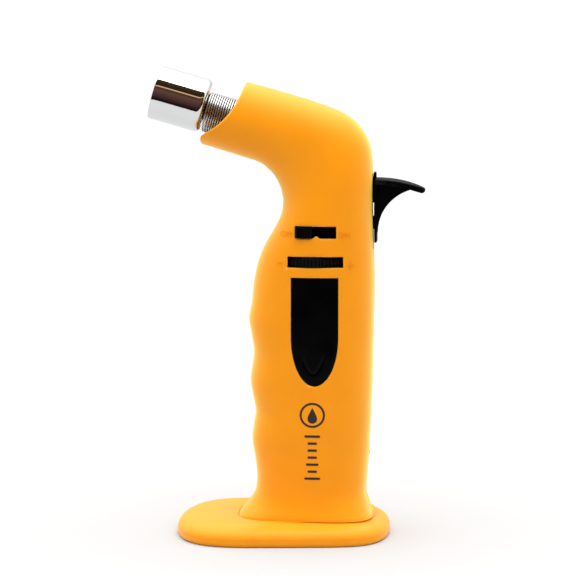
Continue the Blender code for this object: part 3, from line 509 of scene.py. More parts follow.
def casing_shell(side):
    """One clamshell half with a rounded mouth rim and a fine groove along its seam."""
    angles = [side * pi * i / ANGLES for i in range(ANGLES + 1)]
    straight = [step / PER_SPAN for step in range(WARP_FROM * PER_SPAN)]
    skins, corners = [], []
    for inset, back_off, least in ((0.0, 1.0, SEAM_MOUTH), (WALL, 0.5, SEAM_HALF)):
        rows, ends = [], []
        for angle in angles:
            end = mouth_station(angle, inset)
            ends.append(casing_point(end, angle, inset))
            pace = (casing_point(end - 0.05, angle, inset) - ends[-1]).length / 0.05
            last = end - back_off / pace
            warped = [WARP_FROM + (last - WARP_FROM) * k / WARP_ROWS
                      for k in range(WARP_ROWS + 1)]
            rows.append([clear_of_seam(casing_point(t, angle, inset), side, least)
                         for t in straight + warped])
        skins.append(rows)
        corners.append([clear_of_seam(p, side, least) for p in ends])
    length = len(skins[0][0])
    points, faces = [], []

    def put(column):
        points.extend(column)
        return list(range(len(points) - len(column), len(points)))

    outer, inner = ([put(column) for column in rows] for rows in skins)
    edges = []
    for column in (0, -1):
        edge = []
        for a, b in zip(skins[0][column], skins[1][column]):
            inward = (Vector((b.x, 0, b.z)) - Vector((a.x, 0, a.z))).normalized()
            edge.append(Vector((a.x, side * SEAM_HALF, a.z)) + inward * SEAM_CHAMFER)
        edges.append(put(edge))
    rims = []
    for i in range(ANGLES + 1):
        a, b = skins[0][i][-1], skins[1][i][-1]
        corner_a, corner_b = corners[0][i], corners[1][i]
        across = corner_b - corner_a
        a2 = corner_a + across * min(0.45, 1.0 / across.length)
        b2 = corner_b - across * min(0.3, 0.5 / across.length)
        rim = []
        for start, corner, end, steps in ((a, corner_a, a2, 6), (b2, corner_b, b, 3)):
            for k in range(steps + 1):
                t = k / steps
                rim.append(start * (1 - t) ** 2 + corner * 2 * t * (1 - t) + end * t ** 2)
        rims.append(put(rim[1:-1]))
    for i in range(ANGLES):
        for r in range(length - 1):
            for wall in (outer, inner):
                faces.append((wall[i][r], wall[i + 1][r], wall[i + 1][r + 1],
                              wall[i][r + 1]))
        faces.append((outer[i][0], outer[i + 1][0], inner[i + 1][0], inner[i][0]))
        left = [outer[i][-1]] + rims[i] + [inner[i][-1]]
        right = [outer[i + 1][-1]] + rims[i + 1] + [inner[i + 1][-1]]
        for k in range(len(left) - 1):
            faces.append((left[k], right[k], right[k + 1], left[k + 1]))
    for edge, column in ((edges[0], 0), (edges[1], ANGLES)):
        out, inn = outer[column], inner[column]
        for r in range(length - 1):
            faces.append((out[r], edge[r], edge[r + 1], out[r + 1]))
            faces.append((edge[r], inn[r], inn[r + 1], edge[r + 1]))
        faces.append((out[0], edge[0], inn[0]))
        faces.append(tuple([edge[-1], out[-1]] + rims[column] + [inn[-1]]))
    return raw(points, faces)


def caster(obj):
    bm = bmesh.new()
    bm.from_mesh(obj.data)
    tree = BVHTree.FromBMesh(bm)
    bm.free()
    return tree


NEAR, FAR = casing_shell(-1), casing_shell(1)
NEAR_TREE, FAR_TREE = caster(NEAR), caster(FAR)


def wall_y(tree, side, x, z):
    """Where a half's outer face stands at x and z."""
    hit = tree.ray_cast(Vector((x, side * 60.0, z)), Vector((0.0, -side, 0.0)))[0]
    return hit.y if hit else 0.0


def near_y(x, z):
    return wall_y(NEAR_TREE, -1.0, x, z)


def grown(outline, by):
    """A counter-clockwise outline with every point moved out along its normal."""
    made = []
    count = len(outline)
    for i, (x, z) in enumerate(outline):
        (ax, az), (bx, bz) = outline[i - 1], outline[(i + 1) % count]
        first = Vector((z - az, ax - x)).normalized()
        second = Vector((bz - z, x - bx)).normalized()
        normal = (first + second).normalized()
        reach = by / max(0.5, normal.dot(first))
        made.append((x + normal.x * reach, z + normal.y * reach))
    return made


def rounded_rectangle(low_x, high_x, low_z, high_z, radius, spacing=1.2):
    """Counter-clockwise, its sides split so that it can follow a curved surface."""
    corners = ((high_x - radius, low_z + radius, -90), (high_x - radius, high_z - radius, 0),
               (low_x + radius, high_z - radius, 90), (low_x + radius, low_z + radius, 180))
    arcs = [arc(x, z, radius, start, start + 90, 4) for x, z, start in corners]
    made = []
    for index, points in enumerate(arcs):
        (x, z), (next_x, next_z) = points[-1], arcs[(index + 1) % 4][0]
        steps = max(1, round(hypot(next_x - x, next_z - z) / spacing))
        made += points + [(x + (next_x - x) * k / steps, z + (next_z - z) * k / steps)
                          for k in range(1, steps)]
    return made


def near_cutter(outline, chamfer=0.3):
    """Cuts into the near side; its mouth follows the casing and is chamfered all round."""
    surface_y = [near_y(x, z) for x, z in outline]
    rings = []
    for grow, deep in ((chamfer + 0.1, -1.2), (chamfer, 0.0), (0.3 * chamfer, 0.3 * chamfer),
                       (0.0, chamfer), (0.0, 6.0)):
        rings.append([(x, y + deep, z)
                      for (x, z), y in zip(grown(outline, grow), surface_y)])
    return skin(rings)


# Slots: low x, high x, low z, high z. Screws: x, z.
LOCK_SLOT = (4.55, 19.95, 113.5, 118.1)
WHEEL_SLOT = (1.9, 22.5, 102.7, 106.9)
BUMP_X, BUMP_HALF, BUMP_HEIGHT = 12.45, 1.15, 0.9
WINDOW_MIDDLE, WINDOW_HALF, WINDOW_LOW, WINDOW_TAPER, WINDOW_HIGH = 12.0, 8.8, 58.5, 76.5, 99.1
TRIGGER_SLOT = (108.0, 136.2)
VALVE_X, VALVE_Y = 11.0, -1.7
WHEEL_RADIUS, WHEEL_LOW, WHEEL_HIGH = 15.8, 103.2, 106.4
SCREWS = ((27.6, 30.0), (27.6, 86.0), (-7.4, 31.0), (-8.4, 82.0), (22.0, 146.5))
SCREW_HEAD_Y, SCREW_HEAD_RADIUS = 9.6, 2.0
COUNTERBORE_Y, COUNTERBORE_RADIUS = 7.9, 2.7


def lock_outline():
    """The upper slot, with a detent bump on its lower edge."""
    low_x, high_x, low_z, high_z = LOCK_SLOT
    made = [p for p in rounded_rectangle(low_x, high_x, low_z, high_z, 0.35)
            if not (p[1] < low_z + 0.05 and abs(p[0] - BUMP_X) < 2.0)]
    bump = [(BUMP_X + t * BUMP_HALF * 1.25, low_z + BUMP_HEIGHT * (0.5 + 0.5 * cos(pi * t)))
            for t in (k / 4 - 1 for k in range(9))]
    before = next(i for i, (p, q) in enumerate(zip(made, made[1:]))
                  if max(p[1], q[1]) < low_z + 0.05 and p[0] < bump[0][0] < q[0])
    return made[:before + 1] + bump + made[before + 1:]


def window_outline():
    """Counter-clockwise from the top right: top, left side, rounded bottom, right side."""
    half, drop = WINDOW_HALF, WINDOW_TAPER - WINDOW_HIGH
    top = [(WINDOW_MIDDLE + half * (1 - 2 * k / 14), WINDOW_HIGH) for k in range(15)]
    left = [(WINDOW_MIDDLE - half, WINDOW_HIGH + drop * k / 18) for k in range(1, 18)]
    bottom = [(WINDOW_MIDDLE - half * cos(pi * k / 40),
               WINDOW_TAPER - (WINDOW_TAPER - WINDOW_LOW) * sin(pi * k / 40)) for k in range(41)]
    right = [(WINDOW_MIDDLE + half, WINDOW_TAPER - drop * k / 18) for k in range(1, 18)]
    return top + left + bottom + right


def trigger_slot():
    return block((27.0, -2.1, TRIGGER_SLOT[0]), (36.0, 2.1, TRIGGER_SLOT[1]))


def near_half():
    boolean(NEAR, joined([near_cutter(lock_outline()),
                          near_cutter(rounded_rectangle(*WHEEL_SLOT, 0.35)),
                          near_cutter(window_outline(), 0.25)]))
    boolean(NEAR, rod(WHEEL_RADIUS + 0.5, WHEEL_SLOT[2] + 0.05, WHEEL_SLOT[3] - 0.05,
                      middle=(VALVE_X, VALVE_Y), steps=128))
    boolean(NEAR, trigger_slot())
    piece(NEAR, "casing_near", "casing_yellow", replaces=["housing_left"])


def screw_pillar(x, z):
    """A pillar inside the far half, its outer end sunk under the surface."""
    ring = circle(x, z, COUNTERBORE_RADIUS + 1.0, 40)
    low = COUNTERBORE_Y - 1.5
    return skin([[(u, low, v) for u, v in ring],
                 [(u, max(low + 0.4, wall_y(FAR_TREE, 1.0, u, v) - 1.1), v) for u, v in ring]])


def far_half():
    boolean(FAR, joined([screw_pillar(x, z) for x, z in SCREWS]), "UNION")
    rings = [circle(x, z, COUNTERBORE_RADIUS, 40) for x, z in SCREWS]
    boolean(FAR, joined([skin([[(u, y, v) for u, v in ring] for y in (COUNTERBORE_Y, 24.0)])
                         for ring in rings]))
    boolean(FAR, trigger_slot())
    piece(FAR, "casing_far", "casing_yellow", replaces=["housing_right"])


near_half()
far_half()


# ---- fuel window
GROOVE_X, GROOVE_HALF, GROOVE_LOW, GROOVE_RISE = 11.5, 3.4, 63.2, 4.6


def groove(x, z):
    """Depth of the U-shaped mark low on the window."""
    t = (x - GROOVE_X) / GROOVE_HALF
    if abs(t) > 1.25:
        return 0.0
    line = GROOVE_LOW + GROOVE_RISE * t * t
    slope = 2 * GROOVE_RISE * t / GROOVE_HALF
    distance = abs(z - line) / sqrt(1 + slope * slope)
    fade = max(0.0, min(1.0, (1.25 - abs(t)) / 0.25))
    return 0.16 * fade * exp(-(distance / 0.38) ** 2)


def fuel_window():
    """A curved panel whose face is a grid, with a rounded edge and a flat-edged back."""
    columns, upper, lower, gap = 40, 40, 56, 0.12

    def at(i, j, inset):
        u = -1 + 2 * i / columns
        half, low, high = WINDOW_HALF - inset, WINDOW_LOW + inset, WINDOW_HIGH - inset
        if j <= upper:
            z = high + (WINDOW_TAPER - high) * j / upper
            return WINDOW_MIDDLE + half * u, z
        t = pi / 2 * (j - upper) / lower
        return (WINDOW_MIDDLE + half * u * max(cos(t), 0.002),
                WINDOW_TAPER - (WINDOW_TAPER - low) * sin(t))

    rows = upper + lower
    layers = ((gap + 0.45, 0.12), (gap + 0.12, 0.2), (gap, 0.5), (gap, 2.6))
    points, faces = [], []
    index = {}
    for layer, (inset, deep) in enumerate(layers):
        whole = layer in (0, len(layers) - 1)
        for j in range(rows + 1):
            for i in range(columns + 1):
                if not whole and 0 < i < columns and 0 < j < rows:
                    continue
                x, z = at(i, j, inset)
                dent = groove(x, z) if layer == 0 else 0.0
                index[layer, i, j] = len(points)
                points.append((x, near_y(x, z) + deep + dent, z))
    for layer in (0, len(layers) - 1):
        for j in range(rows):
            for i in range(columns):
                faces.append((index[layer, i, j], index[layer, i + 1, j],
                              index[layer, i + 1, j + 1], index[layer, i, j + 1]))
    loop = ([(i, 0) for i in range(columns)] + [(columns, j) for j in range(rows)]
            + [(i, rows) for i in range(columns, 0, -1)] + [(0, j) for j in range(rows, 0, -1)])
    for layer in range(len(layers) - 1):
        for a, b in zip(loop, loop[1:] + loop[:1]):
            faces.append((index[layer, *a], index[layer, *b], index[layer + 1, *b],
                          index[layer + 1, *a]))
    piece(raw(points, faces), "window_panel", "smoked_window",
          replaces=["fuel_window"], sharp=50.0)


fuel_window()


# ---- raised marks and print
def mapped_to_near(obj, low, high):
    """Lays a flat shape (x, z, height 0 or 1) on the near side between two heights."""
    for vertex in obj.data.vertices:
        x, z, up = vertex.co
        vertex.co = (x, near_y(x, z) - (low + (high - low) * up), z)
    return obj


def lettering(text, x, z, size):
    """Generic switch words from the built-in font, as a solid one unit thick."""
    curve = bpy.data.curves.new("mark", "FONT")
    curve.body = text
    curve.size = size
    curve.align_x = "CENTER"
    curve.align_y = "CENTER"
    curve.extrude = 0.5
    curve.resolution_u = 4
    curve.offset = 0.02
    guide = linked("mark", curve)
    mesh = bpy.data.meshes.new_from_object(
        guide.evaluated_get(bpy.context.evaluated_depsgraph_get()))
    bpy.data.objects.remove(guide, do_unlink=True)
    made = linked("mark", mesh)
    for vertex in mesh.vertices:
        vertex.co = (x + vertex.co.x, z + vertex.co.y, 1.0 if vertex.co.z > 0 else 0.0)
    return made


def flat_shape(outline):
    return prism(outline, 0.0, 1.0, axis="Z")


def bar(x, z, half_x, half_z, radius):
    return flat_shape(rounded_rectangle(x - half_x, x + half_x, z - half_z, z + half_z, radius,
                                        0.8))


for name, shape in (("mark_off", lettering("OFF", 1.3, 114.9, 2.7)),
                    ("mark_on", lettering("ON", 22.9, 114.9, 2.7)),
                    ("mark_minus", bar(-0.8, 104.4, 1.0, 0.22, 0.1)),
                    ("mark_plus", joined([bar(25.2, 103.7, 1.0, 0.22, 0.1),
                                          bar(25.2, 104.75, 0.22, 0.75, 0.1),
                                          bar(25.2, 102.65, 0.22, 0.75, 0.1)]))):
    piece(mapped_to_near(shape, -0.4, 0.2), name, "casing_mark_painted_shade",
          sharp=50.0)


def droplet(x, z, radius, height, count=40):
    """A generic flame: round below, drawn out to a point above."""
    made = []
    for k in range(count):
        t = 2 * pi * k / count
        pull = (0.5 + 0.5 * sin(t)) ** 3
        made.append((x + radius * cos(t) * (1 - 0.75 * pull),
                     z + radius * sin(t) + height * pull))
    return made


def ring_shape(x, z, radius, width):
    return skin([[(u, v, up) for u, v in circle(x, z, r, 64)]
                 for r, up in ((radius, 0.0), (radius, 1.0), (radius - width, 1.0),
                               (radius - width, 0.0))], wrap=True)


PRINT_X = 11.3
print_shapes = [ring_shape(PRINT_X, 47.8, 4.7, 0.75), flat_shape(droplet(PRINT_X, 46.6, 1.9, 2.0))]
for row, half in enumerate((2.9, 1.7, 1.7, 1.7, 2.3, 1.7, 2.9)):
    print_shapes.append(bar(PRINT_X, 39.8 - row * 2.65, half, 0.42, 0.2))
piece(mapped_to_near(joined(print_shapes), -0.15, 0.09), "printed_mark", "black_print",
      sharp=50.0)


# ---- stand
STAND_MIDDLE, STAND_HALF_LENGTH, STAND_HALF_WIDTH, STAND_TAPER = -0.7, 40.0, 29.55, 4.5
BACK_POWER, FRONT_POWER, WIDTH_POWER = 7.0, 3.6, 0.471      # of its outline
STAND_TOP = 8.0
FOOT = (7.8, 25.0, 19.3, 3.5)       # middle, half length, half width and roundness
STAND_COUNT = 180
STAND_EDGE = ((2.6, 0.0), (1.0, 0.0), (0.35, 0.3), (0.0, 1.0), (0.0, 3.2), (0.7, 4.8),
              (2.2, 6.1), (4.8, 7.1), (8.5, 7.7))


def stand_ring(inset, z):
    """The stand's egg outline, broad under the flame and squarer at the back."""
    ring = []
    for i in range(STAND_COUNT):
        angle = 2 * pi * i / STAND_COUNT
        along = cos(angle)
        power = BACK_POWER if along > 0 else FRONT_POWER
        width = ((1 - abs(along) ** power) ** WIDTH_POWER
                 * (STAND_HALF_WIDTH - STAND_TAPER * along))
        side = copysign(width, sin(angle)) if i % (STAND_COUNT // 2) else 0.0
        ring.append((STAND_MIDDLE + (STAND_HALF_LENGTH - inset) * along,
                     side * (1 - inset / STAND_HALF_WIDTH), z))
    return ring


def recess_ring(grow, z):
    """The outline of the torch's foot with play all round, grown by a width."""
    middle, half_x, half_y, roundness = FOOT
    ring = []
    for i in range(STAND_COUNT):
        u, v = superellipse(2 * pi * i / STAND_COUNT, half_x + GAP + grow, half_y + GAP + grow,
                            roundness)
        ring.append((middle + u, v, z))
    return ring


def between(first, second, t):
    return [tuple(p + (q - p) * t for p, q in zip(a, b)) for a, b in zip(first, second)]


def stand():
    """A domed shell with a recess that the torch's foot sits in, ribbed underneath."""
    edge = list(STAND_EDGE[:3]) + catmull(STAND_EDGE[3:], 4)
    rings = [stand_ring(max(inset, 0.0), z) for inset, z in edge]
    rim = recess_ring(0.7, STAND_TOP)
    shoulder, shoulder_z = rings[-1], STAND_EDGE[-1][1]
    for t in (0.2, 0.4, 0.6, 0.8):
        height = shoulder_z + (STAND_TOP - shoulder_z) * (1 - (1 - t) ** 2)
        rings.append([(x, y, height) for x, y, _ in between(shoulder, rim, t)])
    rings.append(rim)
    rings += [recess_ring(grow, z) for grow, z in ((0.3, 7.95), (0.1, 7.8), (0.0, 7.5),
                                                   (0.0, 6.35), (-0.35, 6.0))]
    made = skin(rings)
    hollow = skin([stand_ring(2.4, -1.0), stand_ring(2.4, 2.0), stand_ring(4.5, 3.9)])
    inside = skin([stand_ring(1.9, 0.6), stand_ring(1.9, 2.0), stand_ring(3.5, 4.6)])
    ribs = block((-36.0, -0.8, 0.6), (35.0, 0.8, 4.5))
    for x in (-20.0, 0.0, 20.0):
        boolean(ribs, block((x - 0.8, -27.0, 0.6), (x + 0.8, 27.0, 4.5)), "UNION")
    boolean(ribs, inside, "INTERSECT")
    boolean(hollow, ribs)
    boolean(made, hollow)
    piece(made, "stand_shell", "stand_yellow", "stand", replaces=["stand_base"])


stand()


# ---- burner
NOZZLE_REAR, BURNER_TILT = (-29.67, 160.62), 15.9
NOZZLE_RADIUS, NOZZLE_LENGTH, NOZZLE_WALL = 10.1, 20.0, 0.8
BURNER_TUBE_RADIUS, ELECTRODE_UP = 4.95, 3.2
COIL_RADIUS, COIL_WIRE, COIL_PITCH, COIL_TURNS, COIL_DROP = 7.25, 0.35, 0.875, 19, 1.65


def burner_frame(along=0.0, up=0.0):
    """Local +Z towards the flame and local +X upwards, from the nozzle's rear face."""
    tilt = radians(BURNER_TILT)
    forward = Vector((-cos(tilt), 0, sin(tilt)))
    upward = Vector((sin(tilt), 0, cos(tilt)))
    start = Vector((NOZZLE_REAR[0], 0, NOZZLE_REAR[1])) + forward * along + upward * up
    return Matrix.Translation(start) @ Matrix.Rotation(-(pi / 2 - tilt), 4, "Y")


def drilled(plate, radius, reach, count, turn, steps):
    """Drills a ring of holes through a plate."""
    boolean(plate, joined([rod(radius, 3.0, 8.0, middle=middle, steps=steps)
                           for middle in circle(0.0, 0.0, reach, count, turn)]))


def burner():
    """The cup, and the tube, plates, coil and electrode that stand inside and behind it."""
    r, wall, length = NOZZLE_RADIUS, NOZZLE_WALL, NOZZLE_LENGTH
    hole, turn = BURNER_TUBE_RADIUS + GAP, 2.2
    profile = arc(r - 0.4, length - 0.4, 0.4, 90, 0, 6)
    profile += [(r, length - 1.5), (r, length / 2), (r, turn + 0.6)]
    profile += arc(r - turn, turn, turn, 0, -90, 12)
    profile += [(hole + 0.3, 0.0), (hole, 0.3), (hole, 1.1), (hole + 0.2, 1.4)]
    profile += arc(r - wall - 1.6, 1.4 + 1.6, 1.6, -90, 0, 8)
    profile += [(r - wall, length / 2), (r - wall, length - 0.4)]
    profile += arc(r - 0.4, length - 0.4, 0.4, 180, 90, 4)[:-1]
    piece(turned(profile, 144, burner_frame()), "nozzle_cup", "chrome",
          replaces=["burner_nozzle"])
    tube_r = BURNER_TUBE_RADIUS
    piece(turned([(tube_r, 6.3), (tube_r, -31.0), (tube_r - 0.6, -31.0),
                  (tube_r - 0.6, 6.3), (tube_r - 0.3, 6.5)], 64, burner_frame()),
          "mixing_tube", "heated_steel", replaces=["burner_tube"])
    holder = turned([(8.8, 6.2), (9.0, 6.0), (9.0, 5.0), (8.8, 4.8),
                     (tube_r + GAP, 4.8), (tube_r + GAP, 6.2)])
    drilled(holder, 0.9, 7.2, 8, 0.37, 24)
    piece(moved(holder, burner_frame()), "flame_plate", "flame_side_steel",
          replaces=["flame_holder"])
    tip = turned([(0.0, 5.6), (3.9, 5.6), (4.1, 5.4), (4.1, 4.4), (0.0, 4.4)], 64)
    drilled(tip, 0.6, 1.9, 6, 0.0, 20)
    boolean(tip, rod(1.3, 3.0, 8.0, middle=(ELECTRODE_UP, 0.0), steps=32))
    piece(moved(tip, burner_frame()), "jet_plate", "brass", replaces=["burner_tip"])
    low = -GAP - COIL_WIRE
    coil = helix(COIL_RADIUS, low - COIL_PITCH * COIL_TURNS, low, COIL_TURNS, per_turn=56)
    piece(moved(tube(coil, COIL_WIRE, 10), burner_frame(up=-COIL_DROP)), "spring_neck",
          "steel", replaces=["neck_coil"], sharp=80.0)
    piece(rod(0.3, -37.0, 9.0, steps=20, where=burner_frame(up=ELECTRODE_UP), edge=0.1),
          "spark_needle", "steel", replaces=["ignition_electrode"])
    piece(turned([(0.6, 3.6), (0.85, 3.55), (1.0, 3.1), (1.0, -36.0), (0.6, -36.0)],
                 32, burner_frame(up=ELECTRODE_UP)), "spark_insulator", "ceramic",
          replaces=["electrode_insulator"])


burner()


# ---- trigger, lock, wheel
PLATE_X, PLATE_THICK, PLATE_HALF = 33.2, 0.9, 3.2
PAD_HALF, PAD_TAPER_X, PAD_TIP_X = 5.6, 38.0, 52.0


def trigger():
    """Thumb trigger: web, curved pad, back plate, and the carriage inside."""
    front = PLATE_X + PLATE_THICK
    scoop = arc_through((46.2, 130.4), (38.2, 125.0), (front + 0.2, 114.6), 26)
    web = [(PLATE_X + 0.3, 133.2), (40.0, 132.8), (46.0, 131.2)] + scoop + [(PLATE_X + 0.3, 113.0)]
    made = prism(web, -2.4, 2.4, edge=0.3)
    top = arc_through((PLATE_X + 0.4, 134.4), (43.5, 133.45), (51.3, 131.15), 26)
    tip = [(51.75, 130.85), (51.95, 130.45), (51.9, 129.95), (51.6, 129.6), (51.2, 129.4),
           (50.7, 129.35)]
    under = arc_through((50.0, 129.55), (43.0, 131.6), (PLATE_X + 0.4, 132.7), 22)
    pad = prism(top + tip + under, -9.0, 9.0)
    reach = PAD_TIP_X + 0.15 - PAD_TAPER_X
    rounded = [(PAD_TAPER_X + reach * cos(a), PAD_HALF * sin(a))
               for a in [pi * (i / 40 - 0.5) for i in range(41)]]
    plan = [(PLATE_X, PAD_HALF), (PLATE_X, -PAD_HALF)] + rounded
    boolean(pad, prism(plan, 125.0, 140.0, axis="Z"), "INTERSECT")
    bevelled(pad, 0.4, 3, 50.0)
    back = [(PLATE_X, 110.8), (PLATE_X - 0.15, 117.0), (PLATE_X - 0.15, 134.5), (front, 134.5),
            (front, 117.0), (front, 110.8)]
    nub = [(PLATE_X - 0.5, 133.5), (PLATE_X - 0.5, 136.4), (PLATE_X - 0.3, 136.8),
           (PLATE_X, 136.98), (PLATE_X + 0.35, 136.8), (PLATE_X + 0.55, 136.3),
           (PLATE_X + 0.6, 133.5)]
    shapes = [pad, prism(back, -PLATE_HALF, PLATE_HALF, edge=0.2), prism(nub, -1.7, 1.7, edge=0.15),
              block((27.5, -1.6, 125.6), (PLATE_X + 0.5, 1.6, 135.2)),
              block((27.5, -1.6, 115.8), (PLATE_X + 0.5, 1.6, 120.4)),
              block((26.8, -4.4, 113.0), (28.9, 4.4, 135.8)),
              block((18.0, -8.8, 131.0), (27.4, 8.8, 135.8)),
              prism([(25.0, 114.8), (25.0, 132.0), (19.4, 132.0), (19.4, 119.0),
                     (20.2, 114.8)], 5.4, 7.9)]
    for shape in shapes:
        boolean(made, shape, "UNION")
    piece(made, "thumb_trigger", "black_plastic", "trigger", replaces=["trigger"], sharp=28.0)


def lock():
    """The slider in the upper slot: a plate inside, a stem, and a ribbed cap outside."""
    low_x, _, low_z, high_z = LOCK_SLOT
    start, end = low_x + 0.4, low_x + 6.4
    ribs = [(start, -17.1), (start + 0.3, -17.5)]
    for k in range(5):
        x = start + 0.75 + k * 0.95
        ribs += [(x, -17.5), (x + 0.2, -17.25), (x + 0.45, -17.25), (x + 0.65, -17.5)]
    ribs += [(end - 0.3, -17.5), (end, -17.1), (end, -10.9), (start, -10.9)]
    made = prism(ribs, low_z + 0.4, high_z - 0.4, axis="Z", edge=0.1)
    boolean(made, block((start - 1.0, -16.7, low_z - 0.5), (end + 1.0, -12.0, low_z + 1.0)))
    boolean(made, block((low_x - 0.4, -11.5, low_z - 1.0), (low_x + 12.2, -10.3, high_z + 0.5),
                        edge=0.2), "UNION")
    piece(made, "lock_knob", "black_plastic", "lock", replaces=["lock_slider"], sharp=28.0)


def flame_wheel():
    """A knurled wheel with chamfered rims, a dished face and a hub."""
    ribs, rings = 72, []
    for radius, z, depth in (
            (WHEEL_RADIUS - 0.6, WHEEL_LOW, 0.0), (WHEEL_RADIUS, WHEEL_LOW + 0.45, 0.4),
            (WHEEL_RADIUS, WHEEL_HIGH - 0.45, 0.4), (WHEEL_RADIUS - 0.6, WHEEL_HIGH, 0.0),
            (13.2, WHEEL_HIGH, 0.0), (12.8, WHEEL_HIGH - 0.7, 0.0),
            (6.2, WHEEL_HIGH - 0.7, 0.0), (5.9, WHEEL_HIGH, 0.0),
            (3.7, WHEEL_HIGH, 0.0), (3.7, WHEEL_LOW, 0.0)):
        ring = []
        for k in range(ribs):
            for part, drop in ((0.0, 1.0), (0.22, 0.15), (0.5, 0.0), (0.78, 0.15)):
                ring.append((*polar(VALVE_X, VALVE_Y, radius - depth * drop,
                                    2 * pi * (k + part) / ribs), z))
        rings.append(ring)
    piece(skin(rings, wrap=True), "flow_wheel", "black_plastic", "wheel",
          replaces=["flame_wheel"], sharp=40.0)


trigger()
lock()
flame_wheel()


# ---- springs, tube, wire and screws
def spring(name, node, path, radius):
    """A coil of wire along a path, with a mesh of its own."""
    made = piece(tube(path, radius, 8), name, "steel", replaces=[node], sharp=80.0)
    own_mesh(made)


spring("return_spring", "trigger_spring", helix(2.0, 110.2, 130.4, 7, 22.2, -6.5), 0.3)
spring("stem_spring", "valve_spring", helix(2.5, 122.0, 125.7, 3, VALVE_X, VALVE_Y), 0.3)
spring("filler_spring", "fill_valve_spring", helix(1.6, 11.6, 17.4, 5, 9.0, 0.0), 0.25)

jet = burner_frame(-37.2).translation
gas_route = ((VALVE_X - 0.6, VALVE_Y - 4.2, 108.2), (9.6, -7.4, 109.4), (9.0, -7.9, 114.6),
             (8.0, -7.9, 128.0), (9.6, -6.0, 140.0), (11.0, -2.4, 145.4),
             (jet.x + 3.0, 0.0, jet.z - 0.6), (jet.x, 0.0, jet.z))
piece(tube(catmull(gas_route, 10), 1.25, 20), "gas_line", "brass",
      replaces=["gas_tube"])
lead = burner_frame(-38.0, up=ELECTRODE_UP).translation
lead_route = ((17.0, 1.2, 110.2), (16.7, 5.6, 110.4), (18.0, 9.5, 111.2), (21.6, 10.8, 114.2),
              (24.0, 10.9, 119.0), (23.8, 10.8, 126.0), (22.0, 10.3, 134.5), (18.6, 9.0, 139.5),
              (14.5, 5.4, 146.0), (lead.x + 3.4, 1.0, lead.z - 1.2), (lead.x, 0.0, lead.z))
piece(tube(catmull(lead_route, 10), 0.8, 16), "spark_lead", "wire_insulation",
      replaces=["ignition_wire"])


def screws():
    """Five screws with crossed slots, each turned a little further than the last."""
    head = SCREW_HEAD_RADIUS
    profile = [(0.0, 0.0), (head * 0.55, -0.04), (head * 0.85, -0.22), (head, -0.55),
               (head, -1.3), (head - 0.1, -1.4), (1.0, -1.4), (1.0, -13.4), (0.12, -14.2),
               (0.0, -14.2)]
    for index, (x, z) in enumerate(SCREWS):
        made = turned(profile, 40)
        for turn in (0.0, pi / 2):
            slot = block((-1.25, -0.24, -0.75), (1.25, 0.24, 0.6))
            boolean(made, moved(slot, Matrix.Rotation(turn + 0.4 * index, 4, "Z")))
        place = Matrix.Translation((x, SCREW_HEAD_Y, z)) @ Matrix.Rotation(-pi / 2, 4, "X")
        piece(moved(made, place), f"case_screw_{index + 1}", "steel",
              replaces=[f"housing_screw_{index + 1}"])


screws()

# ---- CAD nodes that stay
KEPT = {
    "bottom_plate": "casing_yellow", "fill_valve_body": "brass", "fill_valve_stem": "brass",
    "fuel_tank": "tank_plastic", "gas_jet": "brass", "jet_holder": "brass",
    "lever_pin": "steel", "piezo_body": "igniter_case", "piezo_plunger": "plunger_plastic",
    "tank_cap": "tank_plastic", "tank_gasket": "seal_rubber", "valve_body": "brass",
    "valve_lever": "steel", "valve_seal": "seal_rubber", "valve_stem": "brass",
}
for node, look in KEPT.items():
    for material_slot in frame["nodes"][node].material_slots:
        material_slot.material = LOOKS[look]


# ---- floor, light and camera
FLOOR = 0.45                                    # the floor's whiteness
# The dome's strength at the horizon, overhead, and added to the left and right.
DOME, DOME_IN_MIRRORS = (0.15, 5.4, 0.6), (0.85, 6.0, 0.4)


def floor():
    bm = bmesh.new()
    bmesh.ops.create_grid(bm, x_segments=1, y_segments=1, size=3.0)
    obj = finished(bm, "floor")
    made, tree, shader = wired("floor_white")
    where = tree.nodes.new("ShaderNodeTexCoord").outputs["Object"]
    shade = blended(tree, remap(tree, noise(tree, where, 3.0), 0.0, 1.0),
                    (FLOOR * 0.98,) * 3, (FLOOR * 1.02,) * 3)
    fit(tree, shader, {"Base Color": shade, "Roughness": 0.9, "Specular IOR Level": 0.05})
    obj.data.materials.append(made)


def ramped(tree, value, stops):
    """A colour ramp through (position, colour) stops."""
    ramp = added(tree, "ShaderNodeValToRGB", {"Fac": value})
    elements = ramp.color_ramp.elements
    elements[0].position, elements[1].position = stops[0][0], stops[-1][0]
    elements[0].color, elements[1].color = (*stops[0][1], 1.0), (*stops[-1][1], 1.0)
    for place, color in stops[1:-1]:
        elements.new(place).color = (*color, 1.0)
    return ramp.outputs["Color"]


